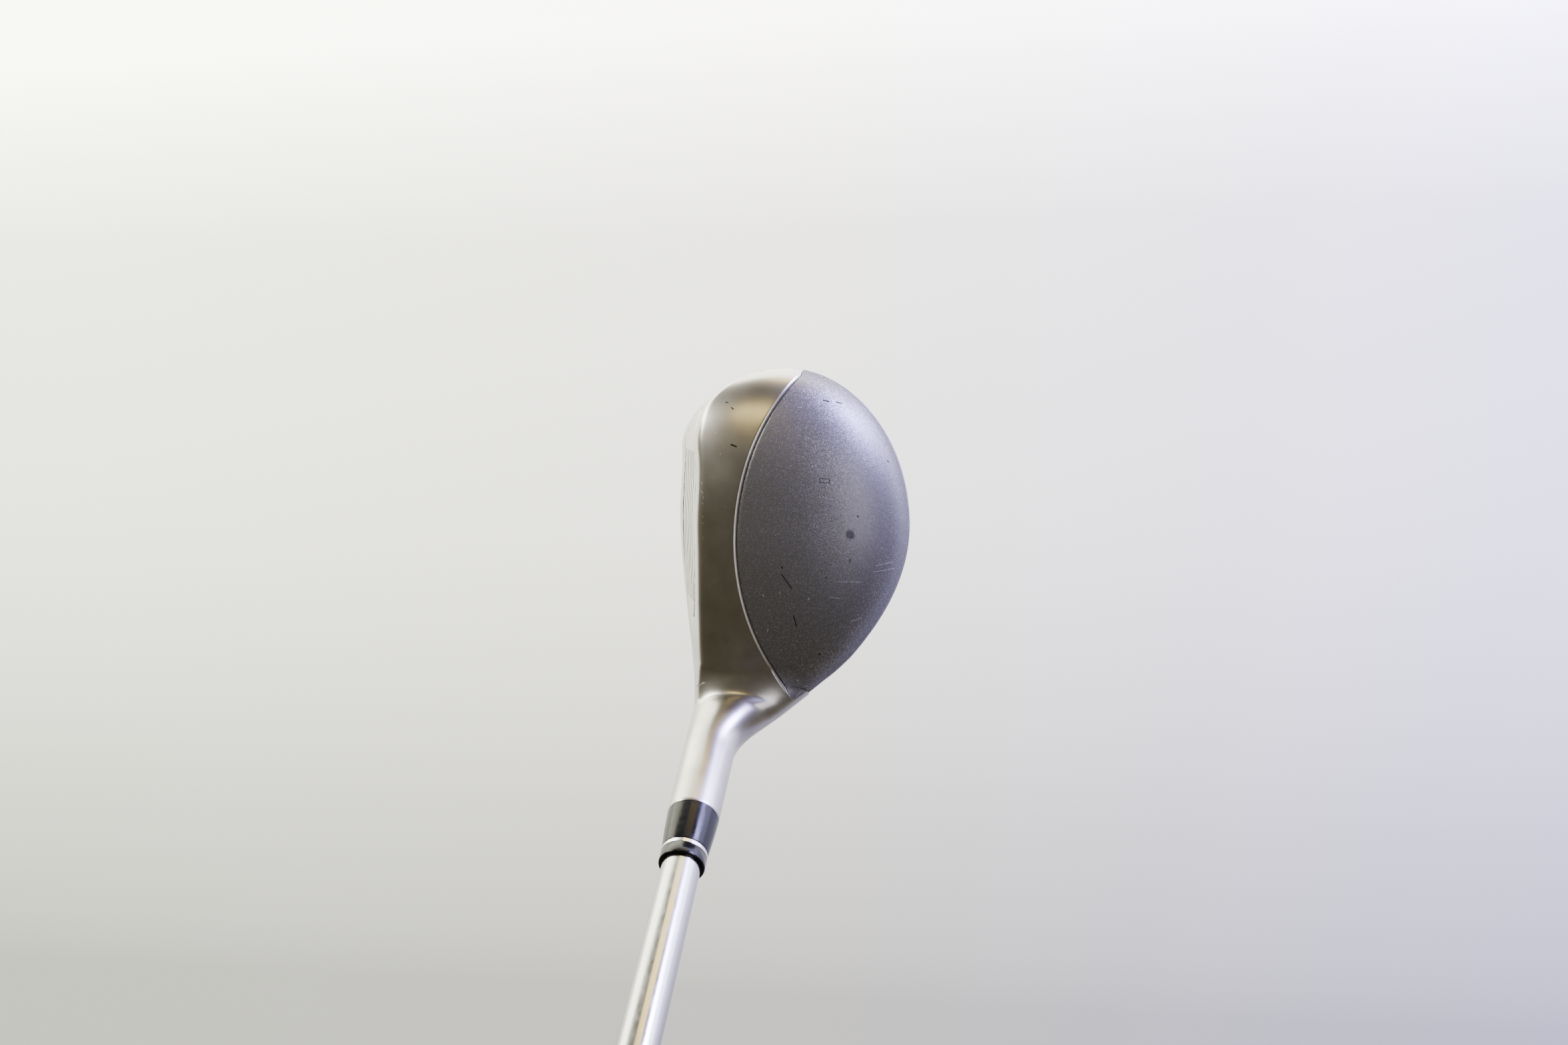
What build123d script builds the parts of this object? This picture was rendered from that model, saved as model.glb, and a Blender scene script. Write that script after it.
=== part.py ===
# A right-handed hybrid golf club, in millimetres, standing at address.
# +Z is up and the sole touches the ground at the origin.
# +X runs from toe to heel, towards the golfer, and the face looks towards -Y.
import os
from math import cos, hypot, pi, radians, sin, tan

from build123d import *

# ---- driving dimensions ----
LIE = 60.0                 # shaft axis above the ground, degrees
LOFT = 21.0                # face leaned back from upright, degrees
FOOT_X = 33.0              # where the shaft axis meets the ground
FOOT_Y = -8.0
CLUB_LENGTH = 1003.0       # along the shaft axis, ground to butt, 39.5 inches

HEAD_TOE = 41.2            # origin to the toe tip, along X
HEAD_FRONT = 22.45         # origin to the leading edge, along Y
HEAD_BACK = 42.2           # origin to the back of the skirt, along Y
HEAD_HEIGHT = 36.0         # sole to the highest point of the crown
TOE_Y = 9.3                # where the toe tip lies, front to back
TOE_Z = 18.0               # height of the toe tip
LEAD_RUN = 20.0            # the leading edge turns back this far towards the toe
LEAD_BULGE = 1.3           # and has drawn back this much there
FRONT_POWER = 1.75         # squareness of that turn
TOE_UPRIGHT = 0.85         # share of the loft lost at the toe tip
UPRIGHT_POWER = 1.5        # how late it is lost
BACK_POWER = 2.0           # squareness of the toe seen from above, back half
TALL_POWER = 2.6           # squareness of the toe seen from the face
NECK_TOP_FALL = 5.5        # crown at the neck, below its highest point
NECK_SOLE_RISE = 8.0       # sole at the neck, above its lowest point
NECK_BACK_FALL = 15.8      # skirt at the neck, in front of its back
NECK_FRONT_FALL = 3.4      # leading edge at the neck, behind its front
NECK_FLARE = 7.0           # web at the back of the hosel, where it leaves the neck
FLARE_PLACE = 48.0         # the web has died away here, along the shaft axis

WAIST_SHARE = 0.46         # height of a section's widest line
APEX_SHARE = 0.30          # where a section is highest, topline to back
CROWN_POWER = 2.3          # fullness of the crown behind its top
NECK_APEX = 0.12           # the same two where the crook falls away to the back
NECK_POWER = 1.35
SOLE_POWER = 2.5           # fullness of the sole towards the skirt
TOPLINE_DROP = 2.0         # topline below the top of its section
TOPLINE_EDGE = 1.6         # size of the rounded topline
LEAD_RISE = 4.5            # leading edge above the sole
LEAD_EDGE = 3.5            # size of the rounded leading edge
SOLE_CAMBER = 1.0          # rise of the sole from its low line to the front

PIVOT_X = 35.8             # centre of the crook between crown and hosel
PIVOT_Z = 38.0
CROOK_FILLET = 9.0         # reach of the fillet between them
RIM_WALL = 1.68            # steel round the bore at the rim
NECK_SWELL = 0.14          # hosel this much thicker where it leaves the neck
RIM_PLACE = 69.6           # rim, along the shaft axis from the ground
BORE_DEPTH = 34.0
BOND_GAP = 0.08            # epoxy round the shaft tip
BOND_FLOOR = 1.0           # epoxy under the shaft tip

WALL = 1.9                 # walls of the head
CROWN_STEP = 0.4           # crown below the front band
BAND_DEPTH = 21.15         # leading edge to the crown seam, at its nearest
SEAM_MIDDLE_X = 8.0        # where it is nearest
SEAM_TOE_BACK = 19.3       # seam's toe end behind its nearest point
SEAM_HEEL_BACK = 15.3      # seam's heel end behind its nearest point
SEAM_TOE_RUN = 2.8         # its arc runs this far past the toe
SEAM_HEEL_RUN = 12.7       # and this far past the crook
PLATE_MARGIN = 5.0         # weld line of the face plate inside the face
PLATE_HEEL = 27.0          # weld line at the heel, along X
SCORE_WIDTH = 0.8
SCORE_PITCH = 3.0
SCORE_COUNT = 6
SCORE_LENGTH = 40.0

WEIGHT_RADIUS = 11.0       # brazed weight inside the sole, at the back
WEIGHT_TOP = 8.0
WEIGHT_Y = 14.0
GLUE_RADIUS = 7.0          # hot melt inside the sole, at the toe
GLUE_TOP = 6.0
GLUE_X = -19.0

SHAFT_TIP = 9.4            # outside diameter, 0.370 inch parallel tip
SHAFT_BUTT = 15.24         # outside diameter, 0.600 inch
TIP_WALL = 0.6
BUTT_WALL = 0.34
PLAIN_TIP = 300.0          # length of the tip below the first step
STEP_PITCH = 44.45
STEP_COUNT = 13
STEP_RUN = 1.5             # length of the cone at each step
PLUG_LENGTH = 12.0         # brass plug in the tip
PLUG_CHAMFER = 0.5
FIT_GAP = 0.02             # between pieces pushed together

COLLAR_LENGTH = 3.3        # the three pieces of the ferrule
RING_LENGTH = 1.1
FERRULE_LENGTH = 15.8      # all three together
FERRULE_WALL = 0.97        # round the shaft, at the ring
COLLAR_ROUND = 0.5
FERRULE_BELLY = 0.35       # how much the ferrule bulges between its ends
FERRULE_STEPS = 8
COLLAR_STEPS = 5

GRIP_LENGTH = 267.0
MOUTH_RUBBER = 1.4         # rubber over the tape at the mouth
BUTT_RUBBER = 5.4          # rubber over the tape at the butt
TAPE_THICK = 0.25
CAP_THICK = 5.0
CAP_ROUND = 2.5
VENT = 2.5                 # diameter of the air hole
MOUTH_LAP = 4.0            # the tape starts this far inside the mouth
MOUTH_LIP = 0.8            # chamfer of the mouth
MOUTH_BAND = 6.0           # length of the plain band at the mouth
GRIP_FLARE = 0.25          # how late the grip widens
GRIP_STEPS = 10
CAP_STEPS = 6

# ---- places that follow ----
LEAN = radians(LIE)
PIVOT_OFF = PIVOT_Z * cos(LEAN) - (PIVOT_X - FOOT_X) * sin(LEAN)
PIVOT_PLACE = PIVOT_Z * sin(LEAN) + (PIVOT_X - FOOT_X) * cos(LEAN)
BORE_RADIUS = SHAFT_TIP / 2 + BOND_GAP
RIM_RADIUS = BORE_RADIUS + RIM_WALL
HOSEL_RADIUS = RIM_RADIUS + NECK_SWELL
RING_RADIUS = SHAFT_TIP / 2 + FERRULE_WALL
BUTT_RADIUS = SHAFT_BUTT / 2 + FIT_GAP + TAPE_THICK + BUTT_RUBBER
BORE_PLACE = RIM_PLACE - BORE_DEPTH
TIP_PLACE = BORE_PLACE + BOND_FLOOR
BUTT_PLACE = CLUB_LENGTH - CAP_THICK
GRIP_PLACE = CLUB_LENGTH - GRIP_LENGTH
SHAFT_AXIS = Plane(
    origin=(FOOT_X, FOOT_Y, 0),
    x_dir=(sin(LEAN), 0, -cos(LEAN)),
    z_dir=(cos(LEAN), 0, sin(LEAN)),
)


def mix(a, b, t):
    return a + (b - a) * t


def ease(t):
    return t * t * (3 - 2 * t)


def arrive(a, b, slope, t):
    """From a, leaving with the given slope, to b, arriving level."""
    return mix(a, b, ease(t)) + slope * t * (1 - t) ** 2


# ---- shape of the head ----
def lead_turn(x):
    """How far round the leading edge's turn at the toe a place is, from 0 to 1."""
    return max(0.0, (-x - LEAD_RUN) / (HEAD_TOE - LEAD_RUN))


def body_station(x, inset):
    """Extents of an upright section: top, bottom, front and back."""
    if x < 0:
        share = -x / HEAD_TOE
        tall = (1 - share**TALL_POWER) ** (1 / TALL_POWER)
        front = (1 - lead_turn(x) ** FRONT_POWER) ** (1 / FRONT_POWER)
        back = (1 - share**BACK_POWER) ** (1 / BACK_POWER)
        reach = TOE_Y + HEAD_FRONT - LEAD_BULGE * ease(min(1.0, -x / LEAD_RUN))
        return (
            TOE_Z + (HEAD_HEIGHT - TOE_Z - inset) * tall,
            TOE_Z - (TOE_Z - inset) * tall,
            TOE_Y - (reach - inset) * front,
            TOE_Y + (HEAD_BACK - TOE_Y - inset) * back,
        )
    share = (x / PIVOT_X) ** 2
    return (
        HEAD_HEIGHT - NECK_TOP_FALL * share - inset,
        NECK_SOLE_RISE * share + inset,
        NECK_FRONT_FALL * share - HEAD_FRONT + inset,
        HEAD_BACK - NECK_BACK_FALL * share - inset,
    )


def crook_reach(reach, radius, t):
    """From the crook's centre to the line of the crown, then of the hosel, filleted."""
    fall = 2 * NECK_TOP_FALL / PIVOT_X
    crown = reach / (cos(t * LEAN) - fall * sin(t * LEAN))
    hosel = (PIVOT_OFF - radius) / cos((1 - t) * LEAN)
    overlap = max(0.0, CROOK_FILLET - abs(crown - hosel))
    return min(crown, hosel) - overlap**2 / (4 * CROOK_FILLET)


def neck_station(t, inset):
    """The same extents a share t of the way round the crook, heights from its centre."""
    top, bottom, front, back = body_station(PIVOT_X, inset)
    sole_reach = PIVOT_Z - bottom
    pace = 2 / PIVOT_X * LEAN
    radius = HOSEL_RADIUS - inset
    return (
        -crook_reach(PIVOT_Z - top, radius, t),
        -arrive(sole_reach, PIVOT_OFF + radius, -NECK_SOLE_RISE * pace * sole_reach, t),
        arrive(front, FOOT_Y - radius, NECK_FRONT_FALL * pace * sole_reach / 2, t),
        mix(back, FOOT_Y + radius + NECK_FLARE, t),
    )


def bezier(start, corner, end, count):
    """Points of a rounded corner, without its end."""
    points = []
    for i in range(count):
        t = i / count
        y = (1 - t) ** 2 * start[0] + 2 * t * (1 - t) * corner[0] + t * t * end[0]
        z = (1 - t) ** 2 * start[1] + 2 * t * (1 - t) * corner[1] + t * t * end[1]
        points.append((y, z))
    return points


def quarter(middle, tip, side, power, count):
    """A quarter of a superellipse from the tip above or below the middle to its side."""
    points = []
    for i in range(count):
        angle = pi / 2 * i / count
        y = mix(middle, side[0], sin(angle) ** (2 / power))
        z = mix(side[1], tip, cos(angle) ** (2 / power))
        points.append((y, z))
    return points


def head_loop(top, bottom, front, back, low, upright, fall):
    """Points round a head section, from its low point by the face to the back."""
    size = min(1.0, (top - bottom) / HEAD_HEIGHT)
    rake = tan(radians(LOFT)) * (1 - upright)
    waist = mix(bottom, top, WAIST_SHARE)
    lead_z = bottom + LEAD_RISE * size
    edge_z = top - TOPLINE_DROP * size
    edge_y = front + (edge_z - lead_z) * rake
    apex = mix(edge_y, back, mix(APEX_SHARE, NECK_APEX, fall))
    floor_z = bottom + SOLE_CAMBER * size
    sole_end = (front + LEAD_EDGE * size, floor_z)
    lead_end = (front, lead_z)
    face_end = (edge_y - TOPLINE_EDGE * size * rake, edge_z - TOPLINE_EDGE * size)
    crown_y = edge_y + TOPLINE_EDGE * size
    crown_fall = ((apex - crown_y) / (apex - edge_y)) ** 2
    crown_end = (crown_y, top - TOPLINE_DROP * size * crown_fall)
    lead_corner = (front - (lead_z - floor_z) * rake, floor_z)
    points = []
    for i in range(4):
        t = i / 4
        points.append((mix(low, sole_end[0], t), mix(bottom, floor_z, t * t)))
    points += bezier(sole_end, lead_corner, lead_end, 4)
    for i in range(4):
        t = i / 4
        points.append((mix(lead_end[0], face_end[0], t), mix(lead_end[1], face_end[1], t)))
    points += bezier(face_end, (edge_y, edge_z), crown_end, 4)
    for i in range(4):
        y = mix(crown_end[0], apex, i / 4)
        fall = ((apex - y) / (apex - edge_y)) ** 2
        points.append((y, top - TOPLINE_DROP * size * fall))
    points += quarter(apex, top, (back, waist), mix(CROWN_POWER, NECK_POWER, fall), 7)
    under = quarter(low, bottom, (back, waist), SOLE_POWER, 7)
    points.append((back, waist))
    points += under[:0:-1]
    return points


def chord_shares(points):
    """Share of the way round a closed loop at each of its points, and 1 at the end."""
    walk = [0.0]
    for (y0, z0), (y1, z1) in zip(points, points[1:] + points[:1]):
        walk.append(walk[-1] + hypot(y1 - y0, z1 - z0))
    return [step / walk[-1] for step in walk]


def round_loop(top, bottom, front, back, shares):
    """An ellipse with the same extents, its points as far round as the shares say."""
    points = []
    for share in shares[:-1]:
        angle = 2 * pi * (-0.25 - share)
        y = (front + back) / 2 + (back - front) / 2 * cos(angle)
        z = (top + bottom) / 2 + (top - bottom) / 2 * sin(angle)
        points.append((y, z))
    return points


def section(origin_x, origin_z, turn, extents, low, upright, fall, roundness):
    """One closed spline in the plane through an origin, turned about Y."""
    top, bottom, front, back = extents
    plain = head_loop(top, bottom, front, back, low, upright, fall)
    ring = round_loop(top, bottom, front, back, SHARES)
    points = []
    for (y0, z0), (y1, z1) in zip(plain, ring):
        y = mix(y0, y1, roundness)
        z = mix(z0, z1, roundness)
        points.append(Vector(origin_x - z * sin(turn), y, origin_z + z * cos(turn)))
    return Wire([Edge.make_spline(points, periodic=True, parameters=SHARES)])


SHARES = chord_shares(head_loop(*body_station(0, 0), 0, 0, 0))
TOE_ANGLES = [2.5, 9, 18, 27, 36, 45, 54, 63, 72, 81]
BODY_STEPS = 4
NECK_STEPS = 6
HOLLOW_STEPS = 3           # the hollow ends at this many steps round the crook
FLARE_STEPS = 5
NECK_ROUND = 0.10          # how round a section is where the crook begins


def toe_section(angle, inset):
    share = cos(radians(angle))
    low = TOE_Y * (1 - (1 - share**4) ** 0.5)
    extents = body_station(-share * HEAD_TOE, inset)
    upright = TOE_UPRIGHT * lead_turn(-share * HEAD_TOE) ** UPRIGHT_POWER
    return section(-share * (HEAD_TOE - inset), 0, 0, extents, low, upright, 0, 0)


def body_section(x, inset):
    return section(x, 0, 0, body_station(x, inset), 0, 0, 0, NECK_ROUND * ease(x / PIVOT_X))


def neck_section(t, inset):
    extents = neck_station(t, inset)
    low = mix(0, FOOT_Y, t)
    fall = ease(t)
    return section(PIVOT_X, PIVOT_Z, t * LEAN, extents, low, 0, fall, mix(NECK_ROUND, 1, ease(t)))


def hosel_section(place, inset):
    along = place - PIVOT_PLACE
    radius = mix(HOSEL_RADIUS, RIM_RADIUS, along / (RIM_PLACE - PIVOT_PLACE)) - inset
    flare = NECK_FLARE * max(0.0, (FLARE_PLACE - place) / (FLARE_PLACE - PIVOT_PLACE)) ** 2
    back = FOOT_Y + radius + flare
    extents = (-PIVOT_OFF + radius, -PIVOT_OFF - radius, FOOT_Y - radius, back)
    x = PIVOT_X + along * cos(LEAN)
    z = PIVOT_Z + along * sin(LEAN)
    return section(x, z, LEAN, extents, FOOT_Y, 0, 1, 1)


def head_solid(inset, whole):
    """The head's outer shape drawn in by an inset, whole or as far as the hollow goes."""
    turns = NECK_STEPS if whole else HOLLOW_STEPS
    body = [body_section(PIVOT_X * i / BODY_STEPS, inset) for i in range(BODY_STEPS)]
    neck = [neck_section(i / NECK_STEPS, inset) for i in range(turns + 1)]
    toe = [toe_section(angle, inset) for angle in TOE_ANGLES]
    solid = Solid.make_loft(toe + body[:1])
    solid += Solid.make_loft(body + neck[:1])
    solid += Solid.make_loft(neck)
    if whole:
        flare = [mix(PIVOT_PLACE, FLARE_PLACE, i / FLARE_STEPS) for i in range(FLARE_STEPS + 1)]
        solid += Solid.make_loft([hosel_section(place, inset) for place in flare])
        solid += Solid.make_loft([hosel_section(place, inset) for place in (FLARE_PLACE, RIM_PLACE)])
    return solid


def crown_zone():
    """Everything behind the crown seam and above the skirt seam."""
    near = BAND_DEPTH - HEAD_FRONT
    far = HEAD_BACK + HEAD_TOE
    toe = (-HEAD_TOE - SEAM_TOE_RUN, near + SEAM_TOE_BACK)
    heel = (PIVOT_X + SEAM_HEEL_RUN, near + SEAM_HEEL_BACK)
    edges = [
        ThreePointArc(toe, (SEAM_MIDDLE_X, near), heel),
        Polyline(heel, (heel[0], far), (toe[0], far), toe),
    ]
    return Pos(0, 0, WAIST_SHARE * HEAD_HEIGHT) * extrude(make_face(edges), amount=HEAD_HEIGHT)


def face_zone():
    """A block through the front wall, inside the weld line of the face plate."""
    low = []
    high = []
    for share in [0.7, 0.45, 0.15]:
        top, bottom, _, _ = body_station(-share * HEAD_TOE, 0)
        low.append((-share * HEAD_TOE, bottom + LEAD_RISE + PLATE_MARGIN))
        high.append((-share * HEAD_TOE, top - TOPLINE_DROP - PLATE_MARGIN))
    for x in [0.4 * PLATE_HEEL, 0.85 * PLATE_HEEL]:
        top, bottom, _, _ = body_station(x, 0)
        low.append((x, bottom + LEAD_RISE + PLATE_MARGIN))
        high.append((x, top - TOPLINE_DROP - PLATE_MARGIN))
    toe = (-HEAD_TOE + 1.6 * PLATE_MARGIN, TOE_Z)
    heel = (PLATE_HEEL, (low[-1][1] + high[-1][1]) / 2)
    outline = Spline(toe, *low, heel, *high[::-1], periodic=True)
    block = extrude(make_face(outline), amount=HEAD_FRONT)
    return Plane(origin=(0, -HEAD_FRONT / 2, 0), x_dir=(1, 0, 0), z_dir=(0, -1, 0)) * block


def score_slabs():
    """Thin level slabs that leave the score lines where they pass through the face."""
    slabs = []
    for i in range(SCORE_COUNT):
        z = TOE_Z + (i - (SCORE_COUNT - 1) / 2) * SCORE_PITCH
        slabs.append(Pos(0, -HEAD_FRONT, z) * Box(SCORE_LENGTH, HEAD_FRONT, SCORE_WIDTH))
    return slabs


def bore():
    depth = RIM_PLACE - BORE_PLACE
    return SHAFT_AXIS * Pos(0, 0, BORE_PLACE + depth / 2) * Cylinder(BORE_RADIUS, depth)


def head_parts():
    outer = head_solid(0, True)
    stepped = head_solid(CROWN_STEP, True)
    hollow = head_solid(WALL, False)
    shell = outer - hollow
    crown = (stepped & crown_zone()) - hollow
    plate = shell & face_zone()
    for slab in score_slabs():
        plate -= slab & (outer - stepped)
    weight = Pos(0, WEIGHT_Y, WEIGHT_TOP / 2) * Cylinder(WEIGHT_RADIUS, WEIGHT_TOP)
    glue = Pos(GLUE_X, 0, GLUE_TOP / 2) * Cylinder(GLUE_RADIUS, GLUE_TOP)
    return {
        "head_body": shell - crown_zone() - face_zone() - bore(),
        "crown_plate": crown,
        "face_plate": plate,
        "sole_weight": weight & hollow,
        "glue_pad": glue & hollow,
    }


# ---- shaft ----
def turned(points):
    """A ring or rod turned about the shaft axis, from (radius, place) pairs."""
    profile = Plane.XZ * make_face(Polyline(*points, close=True))
    return SHAFT_AXIS * revolve(profile, Axis.Z)


def shaft_line(start, end, wall):
    """The shaft's outside, or its bore when a wall is taken off, from start to end."""
    growth = (SHAFT_BUTT - SHAFT_TIP) / 2 / STEP_COUNT
    corners = [(SHAFT_TIP / 2 - (TIP_WALL if wall else 0), TIP_PLACE)]
    for i in range(STEP_COUNT):
        step = TIP_PLACE + PLAIN_TIP + i * STEP_PITCH
        thick = mix(TIP_WALL, BUTT_WALL, (i + 1) / STEP_COUNT) if wall else 0
        radius = SHAFT_TIP / 2 + (i + 1) * growth - thick
        corners.append((corners[-1][0], step))
        corners.append((radius, step + STEP_RUN))
    corners.append((corners[-1][0], BUTT_PLACE))
    line = [corner for corner in corners if start < corner[1] < end]
    for place, where in ((start, 0), (end, len(line) + 1)):
        for (r0, z0), (r1, z1) in zip(corners, corners[1:]):
            if z0 <= place <= z1:
                line.insert(where, (mix(r0, r1, (place - z0) / (z1 - z0)), place))
                break
    return line


def thicker(line, extra):
    return [(radius + extra, place) for radius, place in line]


def shaft_parts():
    outside = shaft_line(TIP_PLACE, BUTT_PLACE, False)
    inside = shaft_line(TIP_PLACE, BUTT_PLACE, True)
    bore_radius = inside[0][0]
    plug_end = TIP_PLACE + PLUG_LENGTH
    plug = [
        (0, TIP_PLACE),
        (bore_radius - FIT_GAP, TIP_PLACE),
        (bore_radius - FIT_GAP, plug_end - PLUG_CHAMFER),
        (bore_radius - FIT_GAP - PLUG_CHAMFER, plug_end),
        (0, plug_end),
    ]
    bond = [
        (0, BORE_PLACE),
        (BORE_RADIUS, BORE_PLACE),
        (BORE_RADIUS, RIM_PLACE),
        (SHAFT_TIP / 2, RIM_PLACE),
        (SHAFT_TIP / 2, TIP_PLACE),
        (0, TIP_PLACE),
    ]
    return {
        "shaft": turned(outside + inside[::-1]),
        "tip_plug": turned(plug),
        "epoxy_bond": turned(bond),
    }


# ---- ferrule ----
def ferrule_parts():
    inner = SHAFT_TIP / 2 + FIT_GAP
    ring_place = RIM_PLACE + FERRULE_LENGTH - COLLAR_LENGTH - RING_LENGTH
    collar_place = ring_place + RING_LENGTH
    end = RIM_PLACE + FERRULE_LENGTH
    body = [(inner, RIM_PLACE), (RIM_RADIUS, RIM_PLACE)]
    for i in range(1, FERRULE_STEPS + 1):
        t = i / FERRULE_STEPS
        radius = mix(RIM_RADIUS, RING_RADIUS, mix(t, t * t, FERRULE_BELLY))
        body.append((radius, mix(RIM_PLACE, ring_place, t)))
    body.append((inner, ring_place))
    ring = [
        (inner, ring_place),
        (RING_RADIUS, ring_place),
        (RING_RADIUS, collar_place),
        (inner, collar_place),
    ]
    collar = [(inner, collar_place), (RING_RADIUS, collar_place)]
    for i in range(COLLAR_STEPS + 1):
        angle = pi / 2 * i / COLLAR_STEPS
        radius = RING_RADIUS - COLLAR_ROUND * (1 - cos(angle))
        collar.append((radius, end - COLLAR_ROUND * (1 - sin(angle))))
    collar.append((inner, end))
    return {
        "ferrule_body": turned(body),
        "ferrule_ring": turned(ring),
        "ferrule_collar": turned(collar),
    }


# ---- grip ----
def grip_parts():
    tape_under = thicker(shaft_line(GRIP_PLACE + MOUTH_LAP, BUTT_PLACE, False), FIT_GAP)
    tape_over = thicker(tape_under, TAPE_THICK)
    sleeve_under = thicker(shaft_line(GRIP_PLACE, BUTT_PLACE, False), 2 * FIT_GAP + TAPE_THICK)
    mouth = sleeve_under[0][0] + MOUTH_RUBBER
    sleeve_over = [
        (mouth - MOUTH_LIP, GRIP_PLACE),
        (mouth, GRIP_PLACE + MOUTH_LIP),
        (mouth, GRIP_PLACE + MOUTH_BAND),
    ]
    for i in range(1, GRIP_STEPS + 1):
        t = i / GRIP_STEPS
        radius = mix(mouth, BUTT_RADIUS, mix(t, t * t, GRIP_FLARE))
        sleeve_over.append((radius, mix(GRIP_PLACE + MOUTH_BAND, BUTT_PLACE, t)))
    cap = [(VENT / 2, BUTT_PLACE), (BUTT_RADIUS, BUTT_PLACE)]
    for i in range(CAP_STEPS + 1):
        angle = pi / 2 * i / CAP_STEPS
        radius = BUTT_RADIUS - CAP_ROUND * (1 - cos(angle))
        cap.append((radius, CLUB_LENGTH - CAP_ROUND * (1 - sin(angle))))
    cap.append((VENT / 2, CLUB_LENGTH))
    return {
        "grip_tape": turned(tape_under + tape_over[::-1]),
        "grip_sleeve": turned(sleeve_under + sleeve_over[::-1]),
        "grip_cap": turned(cap),
    }


os.makedirs("parts", exist_ok=True)
for name, piece in (head_parts() | shaft_parts() | ferrule_parts() | grip_parts()).items():
    export_step(piece, f"parts/{name}.step")
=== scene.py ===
# A right-handed hybrid golf club, built up as it is assembled: head, shaft, ferrule, grip.
# Everything is in metres in the model's own frame; the head's formulas work in millimetres.
from math import cos, pi, radians, sin, sqrt, tan

import bmesh
import bpy
import numpy as np
from mathutils import Matrix, Vector

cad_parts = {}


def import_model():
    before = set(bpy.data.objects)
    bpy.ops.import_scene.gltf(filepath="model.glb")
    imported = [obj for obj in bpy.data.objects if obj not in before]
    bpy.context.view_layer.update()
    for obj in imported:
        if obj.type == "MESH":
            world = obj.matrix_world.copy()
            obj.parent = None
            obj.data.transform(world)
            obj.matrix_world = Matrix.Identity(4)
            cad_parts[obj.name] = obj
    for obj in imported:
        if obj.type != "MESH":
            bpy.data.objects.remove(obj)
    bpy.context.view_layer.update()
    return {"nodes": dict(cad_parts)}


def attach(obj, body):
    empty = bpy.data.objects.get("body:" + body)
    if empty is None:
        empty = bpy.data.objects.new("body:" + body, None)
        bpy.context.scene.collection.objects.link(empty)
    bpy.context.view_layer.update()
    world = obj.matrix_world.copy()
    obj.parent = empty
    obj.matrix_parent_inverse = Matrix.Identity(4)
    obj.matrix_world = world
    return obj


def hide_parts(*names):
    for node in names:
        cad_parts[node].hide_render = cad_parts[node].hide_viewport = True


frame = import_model()


# ---- head casting ----
# The real piece is a hollow investment casting in stainless steel, with the hosel cast on.
# It is bead-blasted to a satin finish, then the front band is brushed lightly from toe to heel.
# Its shape is a row of sections: upright ones, then ones that fan round the neck to the hosel.
MM = 0.001
LIE = radians(60.0)
LOFT = radians(21.0)
RAKE = tan(LOFT)
FOOT_X, FOOT_Y = 33.0, -8.0
TOE, FRONT, BACK, HEIGHT = 41.2, 22.45, 42.2, 36.0
TOE_Y, TOE_Z = 9.3, 18.0
PIVOT_X, PIVOT_Z = 35.8, 38.0
TOP_FALL, SOLE_RISE, BACK_FALL, FRONT_FALL = 5.5, 8.0, 15.8, 3.4
LEAD_RUN, LEAD_BULGE, TOE_UPRIGHT = 20.0, 1.3, 0.85
RIM_PLACE, FLARE_PLACE, FLARE = 69.6, 48.0, 7.0
RIM_RADIUS, NECK_RADIUS, BORE_RADIUS = 6.46, 6.6, 4.78
NECK_ROUND, FILLET = 0.10, 9.0
# Powers of the curves, where 2 is an ellipse, more is squarer and less is leaner.
TALL_POWER, FRONT_POWER, LOW_POWER, UPRIGHT_POWER = 2.6, 1.75, 4, 1.5
CROWN_POWER, NECK_POWER, SOLE_POWER = 2.3, 1.35, 2.5
# A section's widest line, its highest point, and the sizes of its two front edges.
WAIST_SHARE, APEX_SHARE, NECK_APEX = 0.46, 0.30, 0.12
TOPLINE_DROP, TOPLINE_EDGE, LEAD_RISE, LEAD_EDGE, SOLE_LIFT = 2.0, 1.6, 4.5, 3.5, 1.0
# Points along each flat stretch, each front edge and each quarter behind, and rows of sections.
FLAT_POINTS, EDGE_POINTS, QUARTER_POINTS = 60, 30, 180
TOE_ROWS, BODY_ROWS, CROOK_ROWS, HOSEL_ROWS = 70, 40, 44, 40
OFF = PIVOT_Z * cos(LIE) - (PIVOT_X - FOOT_X) * sin(LIE)
PIVOT_PLACE = PIVOT_Z * sin(LIE) + (PIVOT_X - FOOT_X) * cos(LIE)


def mix(a, b, t):
    return a + (b - a) * t


def ease(t):
    return t * t * (3 - 2 * t)


def arrive(a, b, slope, t):
    return mix(a, b, ease(t)) + slope * t * (1 - t) ** 2


def upright_extents(x):
    """Top, bottom, front and back of the section at x, between toe and neck."""
    if x < 0:
        share = -x / TOE
        turn = max(0.0, (-x - LEAD_RUN) / (TOE - LEAD_RUN))
        tall = (1 - share**TALL_POWER) ** (1 / TALL_POWER)
        front = (1 - turn**FRONT_POWER) ** (1 / FRONT_POWER)
        back = sqrt(1 - share**2)
        reach = TOE_Y + FRONT - LEAD_BULGE * ease(min(1.0, -x / LEAD_RUN))
        low = TOE_Y * (1 - sqrt(1 - share**LOW_POWER))
        return (
            TOE_Z + (HEIGHT - TOE_Z) * tall,
            TOE_Z - TOE_Z * tall,
            TOE_Y - reach * front,
            TOE_Y + (BACK - TOE_Y) * back,
            low,
            TOE_UPRIGHT * turn**UPRIGHT_POWER,
            0.0,
        )
    share = (x / PIVOT_X) ** 2
    return (
        HEIGHT - TOP_FALL * share,
        SOLE_RISE * share,
        FRONT_FALL * share - FRONT,
        BACK - BACK_FALL * share,
        0.0,
        0.0,
        0.0,
    )


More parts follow.
